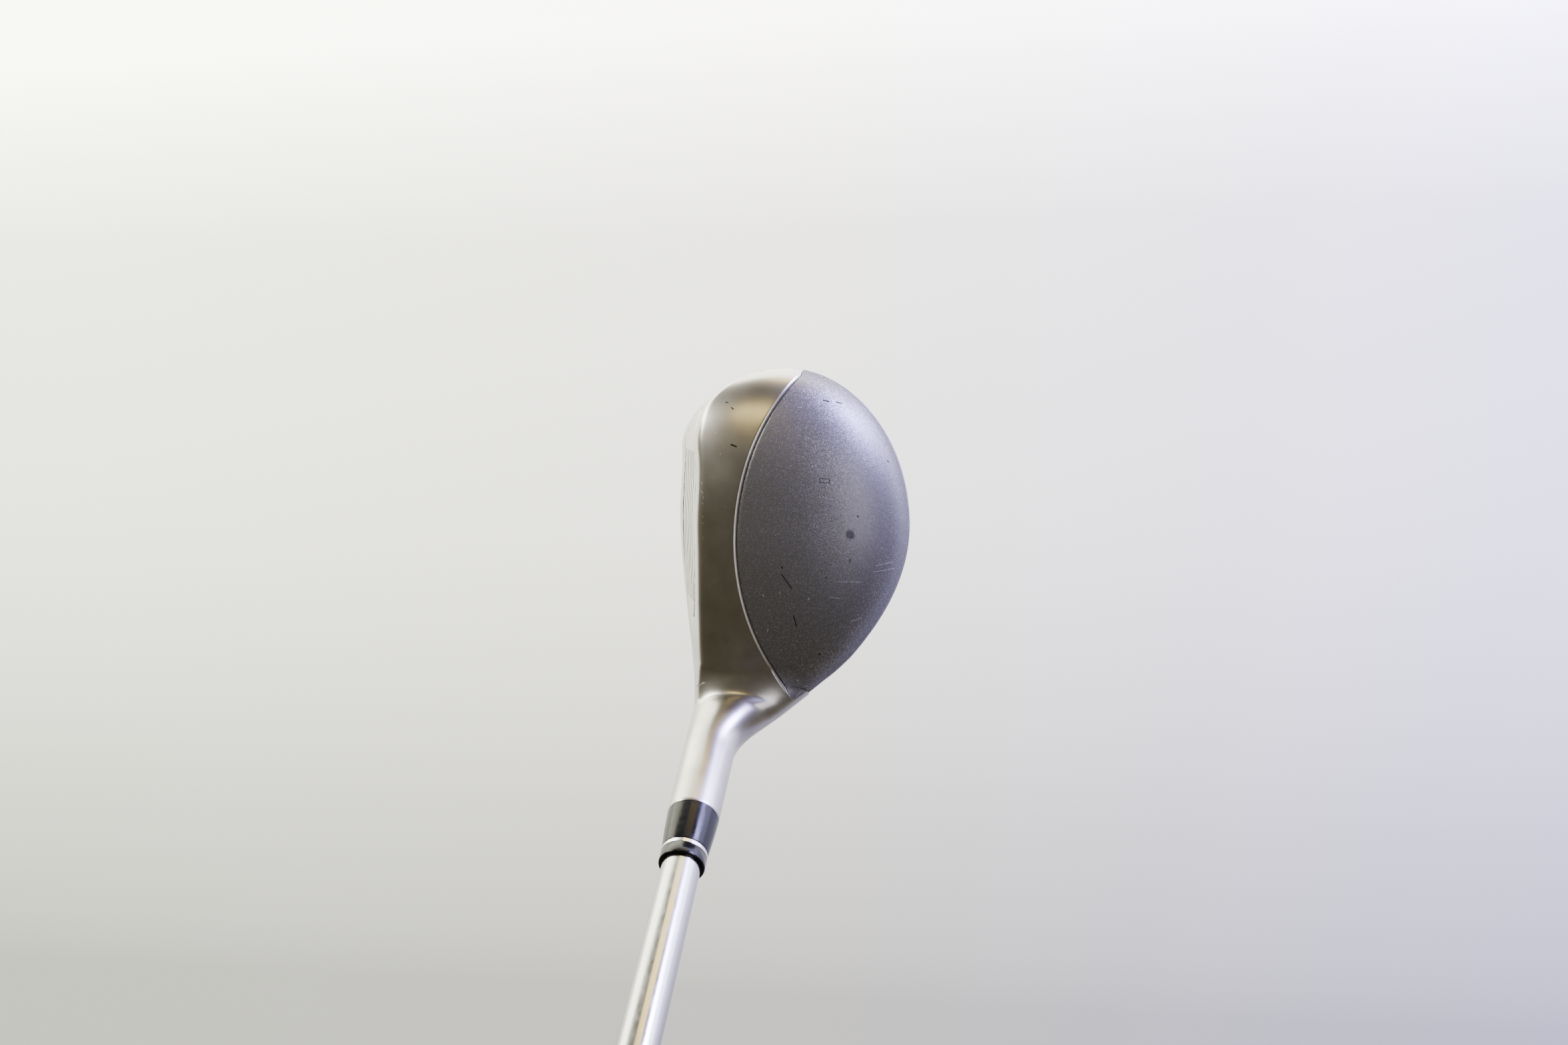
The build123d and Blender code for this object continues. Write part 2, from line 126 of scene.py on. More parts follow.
def crook_reach(reach, t):
    """From the crook's centre to the line of the crown, then of the hosel, filleted."""
    crown = reach / (cos(t * LIE) - 2 * TOP_FALL / PIVOT_X * sin(t * LIE))
    hosel = (OFF - NECK_RADIUS) / cos((1 - t) * LIE)
    overlap = max(0.0, FILLET - abs(crown - hosel))
    return min(crown, hosel) - overlap**2 / (4 * FILLET)


def neck_extents(t):
    """The same round the crook, with heights measured from its centre."""
    top, bottom, front, back = upright_extents(PIVOT_X)[:4]
    high, low = PIVOT_Z - top, PIVOT_Z - bottom
    pace = 2 / PIVOT_X * LIE
    return (
        -crook_reach(high, t),
        -arrive(low, OFF + NECK_RADIUS, -SOLE_RISE * pace * low, t),
        arrive(front, FOOT_Y - NECK_RADIUS, FRONT_FALL * pace * low / 2, t),
        mix(back, FOOT_Y + NECK_RADIUS + FLARE, t),
        mix(0.0, FOOT_Y, t),
        0.0,
        ease(t),
    )


def hosel_extents(place):
    share = (place - PIVOT_PLACE) / (RIM_PLACE - PIVOT_PLACE)
    radius = mix(NECK_RADIUS, RIM_RADIUS, share)
    web = FLARE * max(0.0, (FLARE_PLACE - place) / (FLARE_PLACE - PIVOT_PLACE)) ** 2
    return (-OFF + radius, -OFF - radius, FOOT_Y - radius, FOOT_Y + radius + web, FOOT_Y, 0.0, 1.0)


def corner(start, middle, end, count):
    t = np.arange(count)[:, None] / count
    start, middle, end = np.array(start), np.array(middle), np.array(end)
    return (1 - t) ** 2 * start + 2 * t * (1 - t) * middle + t * t * end


def quarter(middle, tip, side, power, count):
    angle = pi / 2 * np.arange(count) / count
    y = mix(middle, side[0], np.sin(angle) ** (2 / power))
    z = mix(side[1], tip, np.cos(angle) ** (2 / power))
    return np.stack([y, z], axis=1)


def head_outline(top, bottom, front, back, low, upright, fall):
    """Points round a section: sole, leading edge, face, topline, crown, skirt, sole."""
    size = min(1.0, (top - bottom) / HEIGHT)
    rake = RAKE * (1 - upright)
    waist = mix(bottom, top, WAIST_SHARE)
    drop, edge = TOPLINE_DROP * size, TOPLINE_EDGE * size
    lead_z, edge_z, floor_z = bottom + LEAD_RISE * size, top - drop, bottom + SOLE_LIFT * size
    edge_y = front + (edge_z - lead_z) * rake
    apex = mix(edge_y, back, mix(APEX_SHARE, NECK_APEX, fall))
    sole_end = (front + LEAD_EDGE * size, floor_z)
    face_end = (edge_y - edge * rake, edge_z - edge)
    crown_y = edge_y + edge
    crown_z = top - drop * ((apex - crown_y) / (apex - edge_y)) ** 2
    t = np.arange(FLAT_POINTS)[:, None] / FLAT_POINTS
    sole = np.hstack([mix(low, sole_end[0], t), mix(bottom, floor_z, t * t)])
    face = np.hstack([mix(front, face_end[0], t), mix(lead_z, face_end[1], t)])
    y = mix(crown_y, apex, t)
    crown = np.hstack([y, top - drop * ((apex - y) / (apex - edge_y)) ** 2])
    lead_corner = (front - (lead_z - floor_z) * rake, floor_z)
    under = quarter(low, bottom, (back, waist), SOLE_POWER, QUARTER_POINTS)
    return np.vstack([
        sole,
        corner(sole_end, lead_corner, (front, lead_z), EDGE_POINTS),
        face,
        corner(face_end, (edge_y, edge_z), (crown_y, crown_z), EDGE_POINTS),
        crown,
        quarter(apex, top, (back, waist), mix(CROWN_POWER, NECK_POWER, fall), QUARTER_POINTS),
        [(back, waist)],
        under[:0:-1],
    ])


def loop_shares(points):
    steps = np.linalg.norm(np.roll(points, -1, axis=0) - points, axis=1)
    return np.concatenate([[0], np.cumsum(steps)[:-1]]) / steps.sum()


SHARES = loop_shares(head_outline(*upright_extents(0.0)))
CROWN_START = 2 * (FLAT_POINTS + EDGE_POINTS)            # first point behind the topline
WAIST = CROWN_START + FLAT_POINTS + QUARTER_POINTS       # the point furthest back


def head_section(origin_x, origin_z, turn, extents, roundness):
    """A section's points in space, part of the way from its outline to an ellipse."""
    top, bottom, front, back = extents[:4]
    plain = head_outline(*extents)
    angle = 2 * pi * (-0.25 - SHARES)
    ring_y = (front + back) / 2 + (back - front) / 2 * np.cos(angle)
    ring_z = (top + bottom) / 2 + (top - bottom) / 2 * np.sin(angle)
    y = mix(plain[:, 0], ring_y, roundness)
    z = mix(plain[:, 1], ring_z, roundness)
    return np.stack([origin_x - z * sin(turn), y, origin_z + z * cos(turn)], axis=1)


def head_surface():
    """Every section of the head, from the toe tip to the hosel rim."""
    rows = []
    for angle in np.linspace(1.0, 90.0, TOE_ROWS)[:-1]:
        x = -TOE * cos(radians(angle))
        rows.append(head_section(x, 0, 0, upright_extents(x), 0))
    for x in np.linspace(0, PIVOT_X, BODY_ROWS)[:-1]:
        rows.append(head_section(x, 0, 0, upright_extents(x), NECK_ROUND * ease(x / PIVOT_X)))
    for t in np.linspace(0, 1, CROOK_ROWS)[:-1]:
        roundness = mix(NECK_ROUND, 1, ease(t))
        rows.append(head_section(PIVOT_X, PIVOT_Z, t * LIE, neck_extents(t), roundness))
    for place in np.linspace(PIVOT_PLACE, RIM_PLACE, HOSEL_ROWS):
        x = PIVOT_X + (place - PIVOT_PLACE) * cos(LIE)
        z = PIVOT_Z + (place - PIVOT_PLACE) * sin(LIE)
        rows.append(head_section(x, z, LIE, hosel_extents(place), 1))
    return np.array(rows)


SKIN = head_surface()
along = np.gradient(SKIN, axis=0)
around = np.roll(SKIN, -1, axis=1) - np.roll(SKIN, 1, axis=1)
OUT = np.cross(around, along)
OUT /= np.linalg.norm(OUT, axis=2, keepdims=True) + 1e-12
# A row in the body tells whether the normals came out pointing inwards.
BODY_ROW = TOE_ROWS + BODY_ROWS - 10
if np.mean(OUT[BODY_ROW, :, 2] * (SKIN[BODY_ROW, :, 2] - TOE_Z)) < 0:
    OUT = -OUT

# The crown seam is an arc seen from above, and the skirt seam is level.
SEAM = [(-44.0, 18.0), (8.0, -1.3), (48.5, 14.0)]
SKIRT_Z = 16.56
UNDER_GAP = 0.3                      # how far the crown keeps behind its seam under the neck
SEAM_LEAD, LEAST_CROWN = 20, 6       # points searched before the crown, and least across it


def circle_through(a, b, c):
    """Centre and radius of the circle through three points."""
    matrix = 2 * np.array([[b[0] - a[0], b[1] - a[1]], [c[0] - a[0], c[1] - a[1]]])
    right = [p[0] ** 2 + p[1] ** 2 - a[0] ** 2 - a[1] ** 2 for p in (b, c)]
    centre = np.linalg.solve(matrix, right)
    return centre, sqrt((centre[0] - a[0]) ** 2 + (centre[1] - a[1]) ** 2)


SEAM_CENTRE, SEAM_RADIUS = circle_through(*SEAM)


def behind_seam(points):
    """How far points lie behind the crown seam, seen from above."""
    return SEAM_RADIUS - np.hypot(points[..., 0] - SEAM_CENTRE[0], points[..., 1] - SEAM_CENTRE[1])


def crossing(values, level, start, end):
    """Fractional index where values first pass a level between two indices."""
    low, high = int(np.ceil(start)), int(np.floor(end))
    part = values[low:high + 1] - level
    hits = np.nonzero(part[:-1] * part[1:] <= 0)[0]
    if len(hits) == 0:
        return None
    i = hits[0]
    return low + i + part[i] / (part[i] - part[i + 1] + 1e-12)


def at(rows, index):
    """A row's value at fractional indices, the row being closed."""
    index = np.asarray(index, float)
    base = np.floor(index).astype(int)
    part = (index - base)[..., None]
    count = len(rows)
    return rows[base % count] * (1 - part) + rows[(base + 1) % count] * part


def seam_places(row):
    """Where a section crosses the two seams of the crown, or None where there is no crown."""
    skirt = crossing(row[:, 2], SKIRT_Z, CROWN_START + FLAT_POINTS, len(row) - 2) or WAIST
    gap = behind_seam(row)
    seam = crossing(gap, 0.0, CROWN_START - SEAM_LEAD, WAIST)
    if seam is None or gap[WAIST] < 0:
        return None
    under = crossing(gap, UNDER_GAP, WAIST, len(row) - 2)
    if under is not None and row[0, 0] > PIVOT_X:
        skirt = min(skirt, under)
    return (seam, skirt) if skirt - seam > LEAST_CROWN else None


SEAM_PLACES = [seam_places(row) for row in SKIN]
CROWN_ROWS = [i for i, places in enumerate(SEAM_PLACES) if places]


def even(row, start, end, count, samples=1500):
    """Fractional indices that cut a stretch of a section into equal lengths."""
    fine = np.linspace(start, end, samples)
    points = at(row, fine)
    walk = np.concatenate([[0], np.cumsum(np.linalg.norm(np.diff(points, axis=0), axis=1))])
    if walk[-1] < 1e-9:
        return np.full(count, start)
    return np.interp(np.linspace(0, walk[-1], count), walk, fine)


def before(row, end, distance, reach=40, samples=800):
    """Fractional index a distance before an index, along a section."""
    fine = np.linspace(end - reach, end, samples)
    points = at(row, fine)
    walk = np.cumsum(np.linalg.norm(np.diff(points[::-1], axis=0), axis=1))
    return float(np.interp(distance, np.concatenate([[0], walk]), fine[::-1]))


def sunk(i, index, depth):
    """Points of section i at fractional indices, sunk below the skin by a depth."""
    normal = at(OUT[i], index)
    normal /= np.linalg.norm(normal, axis=-1, keepdims=True) + 1e-12
    return at(SKIN[i], index) - normal * np.asarray(depth)[..., None]


def tube_mesh(name, rings):
    """A closed skin over a row of closed rings, its two ends drawn to a point."""
    rings = np.asarray(rings) * MM
    count, size = rings.shape[:2]
    verts = np.vstack([rings.reshape(-1, 3), rings[0].mean(axis=0), rings[-1].mean(axis=0)])
    j = np.arange(size)
    k = (j + 1) % size
    faces = []
    for i in range(count - 1):
        a, b = i * size, (i + 1) * size
        faces += np.stack([a + j, a + k, b + k, b + j], axis=1).tolist()
    faces += [(count * size, int(b), int(a)) for a, b in zip(j, k)]
    last = (count - 1) * size
    faces += [(count * size + 1, int(last + a), int(last + b)) for a, b in zip(j, k)]
    mesh = bpy.data.meshes.new(name)
    mesh.from_pydata(verts.tolist(), [], faces)
    return finished(name, mesh)


def finished(name, mesh, sharp=38.0):
    """Merges doubles, turns the faces outwards, shades smooth and links the object."""
    work = bmesh.new()
    work.from_mesh(mesh)
    bmesh.ops.remove_doubles(work, verts=work.verts, dist=2e-6)
    bmesh.ops.dissolve_degenerate(work, edges=work.edges, dist=1e-7)
    bmesh.ops.recalc_face_normals(work, faces=work.faces)
    if work.calc_volume(signed=True) < 0:
        bmesh.ops.reverse_faces(work, faces=work.faces)
    work.to_mesh(mesh)
    work.free()
    mesh.shade_smooth()
    mesh.set_sharp_from_angle(angle=radians(sharp))
    piece = bpy.data.objects.new(name, mesh)
    bpy.context.scene.collection.objects.link(piece)
    return piece


# The band ends in a bevel that faces the crown; the crown lies lower, in a shallow bed.
LIP = [(0.0, 0.0), (0.12, 0.03), (0.30, 0.14), (0.62, 0.36), (0.72, 0.52), (0.78, 1.3)]
BED_DEPTH = 1.3
SKIRT_LIP = [(0.34, 1.3), (0.28, 0.35), (0.20, 0.14), (0.10, 0.02)]
PLATE_TOE, PLATE_HEEL = -33.0, 27.0
PLATE_MIDDLE, PLATE_HALF = (PLATE_HEEL + PLATE_TOE) / 2, (PLATE_HEEL - PLATE_TOE) / 2
PLATE_TOP_GAP, PLATE_LOW_GAP, PLATE_POWER = 6.0, 8.5, 4
SEAT_DEPTH, SEAT_EDGE, SEAT_BLEND = 1.0, 0.95, 0.06
FULL_SEAM = 3.0                      # crown this wide has room for the whole lip
SKIN_POINTS, BED_POINTS = 250, 14


def plate_middle(x):
    """Middle and half height of the face plate's weld line at a place along the face."""
    top, bottom = upright_extents(x)[:2]
    high, low = top - PLATE_TOP_GAP, bottom + PLATE_LOW_GAP
    return (high + low) / 2, max((high - low) / 2, 0.1)


def plate_share(x, z):
    """Below 1 inside the weld line, a squarish outline."""
    middle, half = plate_middle(x)
    span = (x - PLATE_MIDDLE) / PLATE_HALF
    return (abs(span) ** PLATE_POWER + np.abs((z - middle) / half) ** PLATE_POWER) ** (1 / PLATE_POWER)


def crown_place(i, start, end, reach, samples=2500):
    """Fractional index where section i lies a reach behind the crown seam."""
    fine = np.linspace(start, end, samples)
    gap = behind_seam(at(SKIN[i], fine))
    top = int(np.argmax(gap))
    return float(np.interp(reach, gap[:top + 1], fine[:top + 1]))


def crown_fit(i):
    """1 where section i has room for the whole seam, less where the crown runs out."""
    seam, skirt = SEAM_PLACES[i]
    gap = behind_seam(SKIN[i][int(seam) + 1:int(skirt) + 1])
    return min(1.0, float(gap.max()) / FULL_SEAM)


def casting_rings():
    rings = []
    size = SKIN.shape[1]
    for i, row in enumerate(SKIN):
        near_row = min(max(i, CROWN_ROWS[0]), CROWN_ROWS[-1])
        seam, skirt = SEAM_PLACES[near_row]
        fit = 0.0
        if i == near_row:
            fit = crown_fit(i)
        else:
            seam = skirt
        index = even(row, skirt, seam + size, SKIN_POINTS)
        points = at(row, index)
        depth = np.zeros(len(index))
        if PLATE_TOE < row[0, 0] < PLATE_HEEL:
            on_front = (index % size > FLAT_POINTS) & (index % size < CROWN_START)
            share = plate_share(row[0, 0], points[:, 2])[on_front]
            depth[on_front] = SEAT_DEPTH * np.clip((SEAT_EDGE - share) / SEAT_BLEND, 0, 1)
        lip = [crown_place(i, seam, skirt, reach * fit) if fit else skirt for reach, _ in LIP[1:]]
        near = [max(before(row, skirt, reach * fit), lip[-1]) for reach, _ in SKIRT_LIP]
        bed = even(row, lip[-1], near[0], BED_POINTS)[1:-1]
        index = np.concatenate([index, size + np.array(lip), size + bed, size + np.array(near)])
        depth = np.concatenate([
            depth,
            [sink * fit for _, sink in LIP[1:]],
            np.full(len(bed), BED_DEPTH * fit),
            [sink * fit for _, sink in SKIRT_LIP],
        ])
        rings.append(sunk(i, index, depth))
    return rings


SHAFT_DIR = np.array([cos(LIE), 0, sin(LIE)])
SIDE_DIR = np.array([sin(LIE), 0, -cos(LIE)])
BACK_DIR = np.array([0, 1, 0])
FOOT = np.array([FOOT_X, FOOT_Y, 0.0])


def round_ring(like, place, radius):
    """A circle about the shaft axis, with its points where another ring has them."""
    offset = like - FOOT
    side = offset @ SIDE_DIR
    turn = np.arctan2(offset[:, 1], side)
    return (FOOT + SHAFT_DIR * place + np.cos(turn)[:, None] * SIDE_DIR * radius
            + np.sin(turn)[:, None] * BACK_DIR * radius)


rings = casting_rings()
rim = rings[-1]
RIM_EDGE, BORE_EDGE, BORE_SHOWN = 0.35, 0.3, 3.0
rings[-1] = round_ring(rim, RIM_PLACE - RIM_EDGE, RIM_RADIUS)
for place, radius in [(RIM_PLACE - 0.1, RIM_RADIUS - 0.1), (RIM_PLACE, RIM_RADIUS - RIM_EDGE),
                      (RIM_PLACE, BORE_RADIUS + BORE_EDGE), (RIM_PLACE - BORE_EDGE, BORE_RADIUS),
                      (RIM_PLACE - BORE_SHOWN, BORE_RADIUS)]:
    rings.append(round_ring(rim, place, radius))
casting = tube_mesh("head_casting", rings)


def colour(text):
    """A hex colour, given in sRGB, as the linear values a shader wants."""
    parts = [int(text[i:i + 2], 16) / 255 for i in (1, 3, 5)]
    return [p / 12.92 if p <= 0.04045 else ((p + 0.055) / 1.055) ** 2.4 for p in parts] + [1.0]


def add(tree, kind, settings=(), stops=(), **inputs):
    """Adds a node; an input given as (node, output) is linked, anything else is set.

    Inputs go by name or as i0, i1 and so on; stops are a colour ramp's (position, colour).
    """
    node = tree.nodes.new(kind)
    for key, value in dict(settings).items():
        setattr(node, key, value)
    if stops:
        first, last = node.color_ramp.elements
        first.position, first.color = stops[0]
        last.position, last.color = stops[-1]
    for position, value in stops[1:-1]:
        node.color_ramp.elements.new(position).color = value
    for key, value in inputs.items():
        numbered = key[0] == "i" and key[1:].isdigit()
        socket = node.inputs[int(key[1:]) if numbered else key.replace("_", " ")]
        if isinstance(value, tuple) and isinstance(value[0], bpy.types.Node):
            tree.links.new(value[0].outputs[value[1]], socket)
        else:
            socket.default_value = value
    return node


def surface(name, **inputs):
    """A new material and its principled shader, with some of its inputs set."""
    made = bpy.data.materials.new(name)
    made.use_nodes = True
    tree = made.node_tree
    shader = tree.nodes["Principled BSDF"]
    for key, value in inputs.items():
        shader.inputs[key.replace("_", " ")].default_value = value
    place = add(tree, "ShaderNodeTexCoord")
    return made, tree, shader, (place, "Object")


def grey(value):
    return (value, value, value, 1.0)


def scale_for(size):
    """A pattern's scale, for features of a size in millimetres."""
    return 1 / (size * MM)


def marks(tree, place, strokes):
    """1 on short straight marks, 0 elsewhere, seen from above: (x, y, to x, to y, width) in mm."""
    flat = add(tree, "ShaderNodeVectorMath", {"operation": "MULTIPLY"}, i0=place, i1=(1.0, 1.0, 0.0))
    total = add(tree, "ShaderNodeValue")
    total.outputs[0].default_value = 0.0
    for x0, y0, x1, y1, width in strokes:
        start = Vector((x0, y0, 0)) * MM
        run = Vector((x1 - x0, y1 - y0, 0)) * MM
        unit = run / max(run.length_squared, 1e-12)
        off = add(tree, "ShaderNodeVectorMath", {"operation": "SUBTRACT"}, i0=(flat, "Vector"), i1=start)
        share = add(tree, "ShaderNodeVectorMath", {"operation": "DOT_PRODUCT"}, i0=(off, "Vector"), i1=unit)
        held = add(tree, "ShaderNodeClamp", Value=(share, "Value"))
        nearest = add(tree, "ShaderNodeVectorMath", {"operation": "SCALE"}, i0=run, Scale=(held, "Result"))
        far = add(tree, "ShaderNodeVectorMath", {"operation": "DISTANCE"}, i0=(off, "Vector"),
                  i1=(nearest, "Vector"))
        mask = add(tree, "ShaderNodeMapRange", Value=(far, "Value"), From_Min=width * 0.6 * MM,
                   From_Max=width * 0.35 * MM)
        total = add(tree, "ShaderNodeMath", {"operation": "MAXIMUM"}, i0=(total, 0), i1=(mask, "Result"))
    return (total, 0)


# Cast 17-4 stainless steel, bead-blasted: a soft shine over a fine even grain of dents, 0.2 mm.
steel, tree, shader, place = surface("cast_stainless_bead_blasted", Metallic=1.0)
# Bag wear: nicks along the topline and a few specks on the band, their near-white colour a painted glint,
# and dark dings on the toe.
GLINTING_NICKS = [(-12.8, -9.6, -12.2, -9.3, 0.22), (-10.4, -9.7, -9.9, -9.2, 0.25),
         (-9.2, -9.3, -8.4, -9.0, 0.18), (-7.4, -9.6, -7.1, -9.1, 0.20),
         (-4.1, -9.4, -3.6, -9.3, 0.15), (-2.2, -9.7, -2.0, -9.2, 0.18),
         (1.5, -9.6, 1.9, -9.4, 0.15), (-25.5, -5.9, -25.3, -5.7, 0.2),
         (-20.1, -4.4, -19.8, -4.3, 0.18), (-6.6, -3.2, -6.3, -3.0, 0.15),
         (6.2, -8.8, 6.5, -8.7, 0.14), (14.0, -8.3, 14.2, -8.1, 0.14)]
DINGS = [(-22.3, -1.5, -21.8, -0.2, 0.42), (-31.6, -1.8, -31.2, -1.2, 0.3),
         (-33.0, -3.4, -32.8, -2.8, 0.25)]
cloud = add(tree, "ShaderNodeTexNoise", Vector=place, Scale=scale_for(7.14), Detail=4.0)
tone = add(tree, "ShaderNodeValToRGB", stops=[(0.3, colour("#a9a59d")), (0.7, colour("#bab7b0"))],
           Fac=(cloud, "Fac"))
# the nicks are real wear; their near-white colour is a painted glint
nicked_with_glints = add(tree, "ShaderNodeMix", {"data_type": "RGBA"}, i0=marks(tree, place, GLINTING_NICKS),
             i6=(tone, "Color"), i7=colour("#e8e6e0"))
dinged = add(tree, "ShaderNodeMix", {"data_type": "RGBA"}, i0=marks(tree, place, DINGS),
             i6=(nicked_with_glints, 2), i7=colour("#3b382f"))
tree.links.new(dinged.outputs[2], shader.inputs["Base Color"])
smear = add(tree, "ShaderNodeTexNoise", Vector=place, Scale=scale_for(22.2), Detail=5.0)
rough = add(tree, "ShaderNodeMapRange", Value=(smear, "Fac"), From_Min=0.3, From_Max=0.7,
            To_Min=0.27, To_Max=0.36)
tree.links.new(rough.outputs["Result"], shader.inputs["Roughness"])
grain = add(tree, "ShaderNodeTexNoise", Vector=place, Scale=scale_for(0.192), Detail=2.0)
blast = add(tree, "ShaderNodeBump", Height=(grain, "Fac"), Strength=0.10, Distance=0.03 * MM)
tree.links.new(blast.outputs["Normal"], shader.inputs["Normal"])
casting.data.materials.append(steel)
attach(casting, "root")
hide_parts("head_body")


# ---- crown ----
# The real crown is a thin stainless sheet, pressed and plasma-welded into the casting.
# It is painted dark grey with a fine metal flake and lacquered; use has scratched and chipped it.
CROWN_LOW, CROWN_UNDER, CROWN_POINTS = 0.40, 1.10, 110
SEAM_ROOM, SKIRT_ROOM = 0.80, 0.30       # from the two seams to the sheet's edges
FLUSH_FROM, FLUSH_SHARE = 0.75, 0.85     # the sheet comes up to the casting towards the skirt
EDGE_SINK = np.array([0.30, 0.06, 0.0])
crown_rings = []
for i in CROWN_ROWS:
    seam, skirt = SEAM_PLACES[i]
    fit = crown_fit(i)
    start = crown_place(i, seam, skirt, SEAM_ROOM * fit)
    end = max(before(SKIN[i], skirt, SKIRT_ROOM * fit), start + 0.01)
    across = even(SKIN[i], start, end, CROWN_POINTS)
    share = np.linspace(0, 1, CROWN_POINTS)
    top = CROWN_LOW * fit * (1 - ease(np.clip((share - FLUSH_FROM) / (1 - FLUSH_FROM), 0, 1)) * FLUSH_SHARE)
    edge = np.minimum(np.arange(CROWN_POINTS), np.arange(CROWN_POINTS)[::-1])
    top = top + EDGE_SINK[np.minimum(edge, 2)] * fit
    under = np.full(CROWN_POINTS, CROWN_UNDER * fit)
    crown_rings.append(np.vstack([sunk(i, across, top), sunk(i, across[::-1], under)]))
crown = tube_mesh("crown_shell", crown_rings)

# Dark grey metallic lacquer: a glitter of flakes, drawn 0.14 mm across, each tilted its own way.
paint, tree, shader, place = surface("grey_metal_flake_lacquer", Metallic=0.8, Roughness=0.42,
                                     Specular_Tint=grey(0.12), Coat_Weight=0.05,
                                     Coat_Roughness=0.15, Coat_IOR=1.5)
flakes = add(tree, "ShaderNodeTexVoronoi", Vector=place, Scale=scale_for(0.143))
tilt = add(tree, "ShaderNodeVectorMath", {"operation": "SUBTRACT"}, i0=(flakes, "Color"),
           i1=(0.5, 0.5, 0.5))
lean = add(tree, "ShaderNodeVectorMath", {"operation": "SCALE"}, i0=(tilt, "Vector"), Scale=0.26)
skin = add(tree, "ShaderNodeNewGeometry")
leaning = add(tree, "ShaderNodeVectorMath", {"operation": "ADD"}, i0=(lean, "Vector"),
              i1=(skin, "Normal"))
flake_normal = add(tree, "ShaderNodeVectorMath", {"operation": "NORMALIZE"}, i0=(leaning, "Vector"))
tree.links.new(flake_normal.outputs["Vector"], shader.inputs["Normal"])
chance = add(tree, "ShaderNodeSeparateColor", Color=(flakes, "Color"))
FLAKE_TONES = [(0.0, colour("#6a6868")), (0.85, colour("#817f80")), (1.0, colour("#bcbac2"))]
tone = add(tree, "ShaderNodeValToRGB", stops=FLAKE_TONES, Fac=(chance, "Red"))
# Wear in the lacquer: a round stain, dark chips, and pale scuffs near the back.
STAIN = [(0.9, 28.4, 1.2, 28.5, 2.2)]
CHIPS = [(-33.0, 21.4, -32.6, 22.8, 0.30), (-32.4, 24.6, -32.0, 25.9, 0.28),
         (11.0, 11.0, 14.7, 13.4, 0.26), (22.0, 13.5, 24.8, 14.1, 0.26),
         (33.0, 19.4, 33.01, 19.4, 0.5), (-13.5, 21.1, -13.3, 23.4, 0.16),
         (-12.5, 21.2, -12.3, 23.5, 0.16), (-13.5, 21.1, -12.5, 21.2, 0.16),
         (-13.3, 23.4, -12.3, 23.5, 0.16), (7.3, 28.3, 8.2, 28.2, 0.2),
         (9.0, 11.0, 9.3, 11.2, 0.3), (-3.7, 30.2, -3.4, 30.5, 0.3),
         (11.9, 22.3, 12.2, 22.1, 0.25), (-17.1, 37.2, -16.7, 37.6, 0.2)]
SCUFFS = [(16.5, 5.9, 16.8, 6.1, 0.28), (15.6, 10.2, 16.2, 10.4, 0.2),
          (17.4, 17.5, 17.7, 17.8, 0.28), (25.7, 6.7, 26.2, 6.5, 0.26),
          (26.6, 3.4, 26.8, 3.6, 0.2), (40.2, 13.2, 40.5, 13.4, 0.25),
          (24.2, 27.8, 23.5, 30.4, 0.16), (9.6, 34.5, 9.1, 38.4, 0.12),
          (11.2, 33.8, 10.9, 38.9, 0.12), (13.2, 25.2, 13.6, 31.0, 0.10),
          (17.3, 23.0, 17.7, 25.4, 0.12), (12.9, 14.6, 13.1, 14.8, 0.2)]
stained = add(tree, "ShaderNodeMix", {"data_type": "RGBA"}, i0=marks(tree, place, STAIN),
              i6=(tone, "Color"), i7=colour("#4d4a50"))
chipped = add(tree, "ShaderNodeMix", {"data_type": "RGBA"}, i0=marks(tree, place, CHIPS),
              i6=(stained, 2), i7=colour("#1f1d20"))
scuffed = add(tree, "ShaderNodeMix", {"data_type": "RGBA"}, i0=marks(tree, place, SCUFFS),
              i6=(chipped, 2), i7=colour("#c4c0c8"))
tree.links.new(scuffed.outputs[2], shader.inputs["Base Color"])
crown.data.materials.append(paint)
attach(crown, "root")
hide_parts("crown_plate")


# ---- face plate ----
# The real plate is rolled maraging steel, welded into the front of the casting and ground flush.
# Its six score lines are milled level, 0.8 mm wide and 3 mm apart.
SCORE_COUNT, SCORE_PITCH = 6, 3.0
SCORE_HALF, SCORE_FLOOR, SCORE_RUN, SCORE_DEPTH = 0.4, 0.22, 20.0, 0.35
PLATE_SHARE, PLATE_PROUD, PLATE_THICK = 0.92, 0.02, 0.7
WELD_DEPTH, WELD_WIDTH = 0.22, 0.25
CUT_LEAN = radians(22.0)             # how far the cuts lean from level
score_z = [TOE_Z + (i - (SCORE_COUNT - 1) / 2) * SCORE_PITCH for i in range(SCORE_COUNT)]
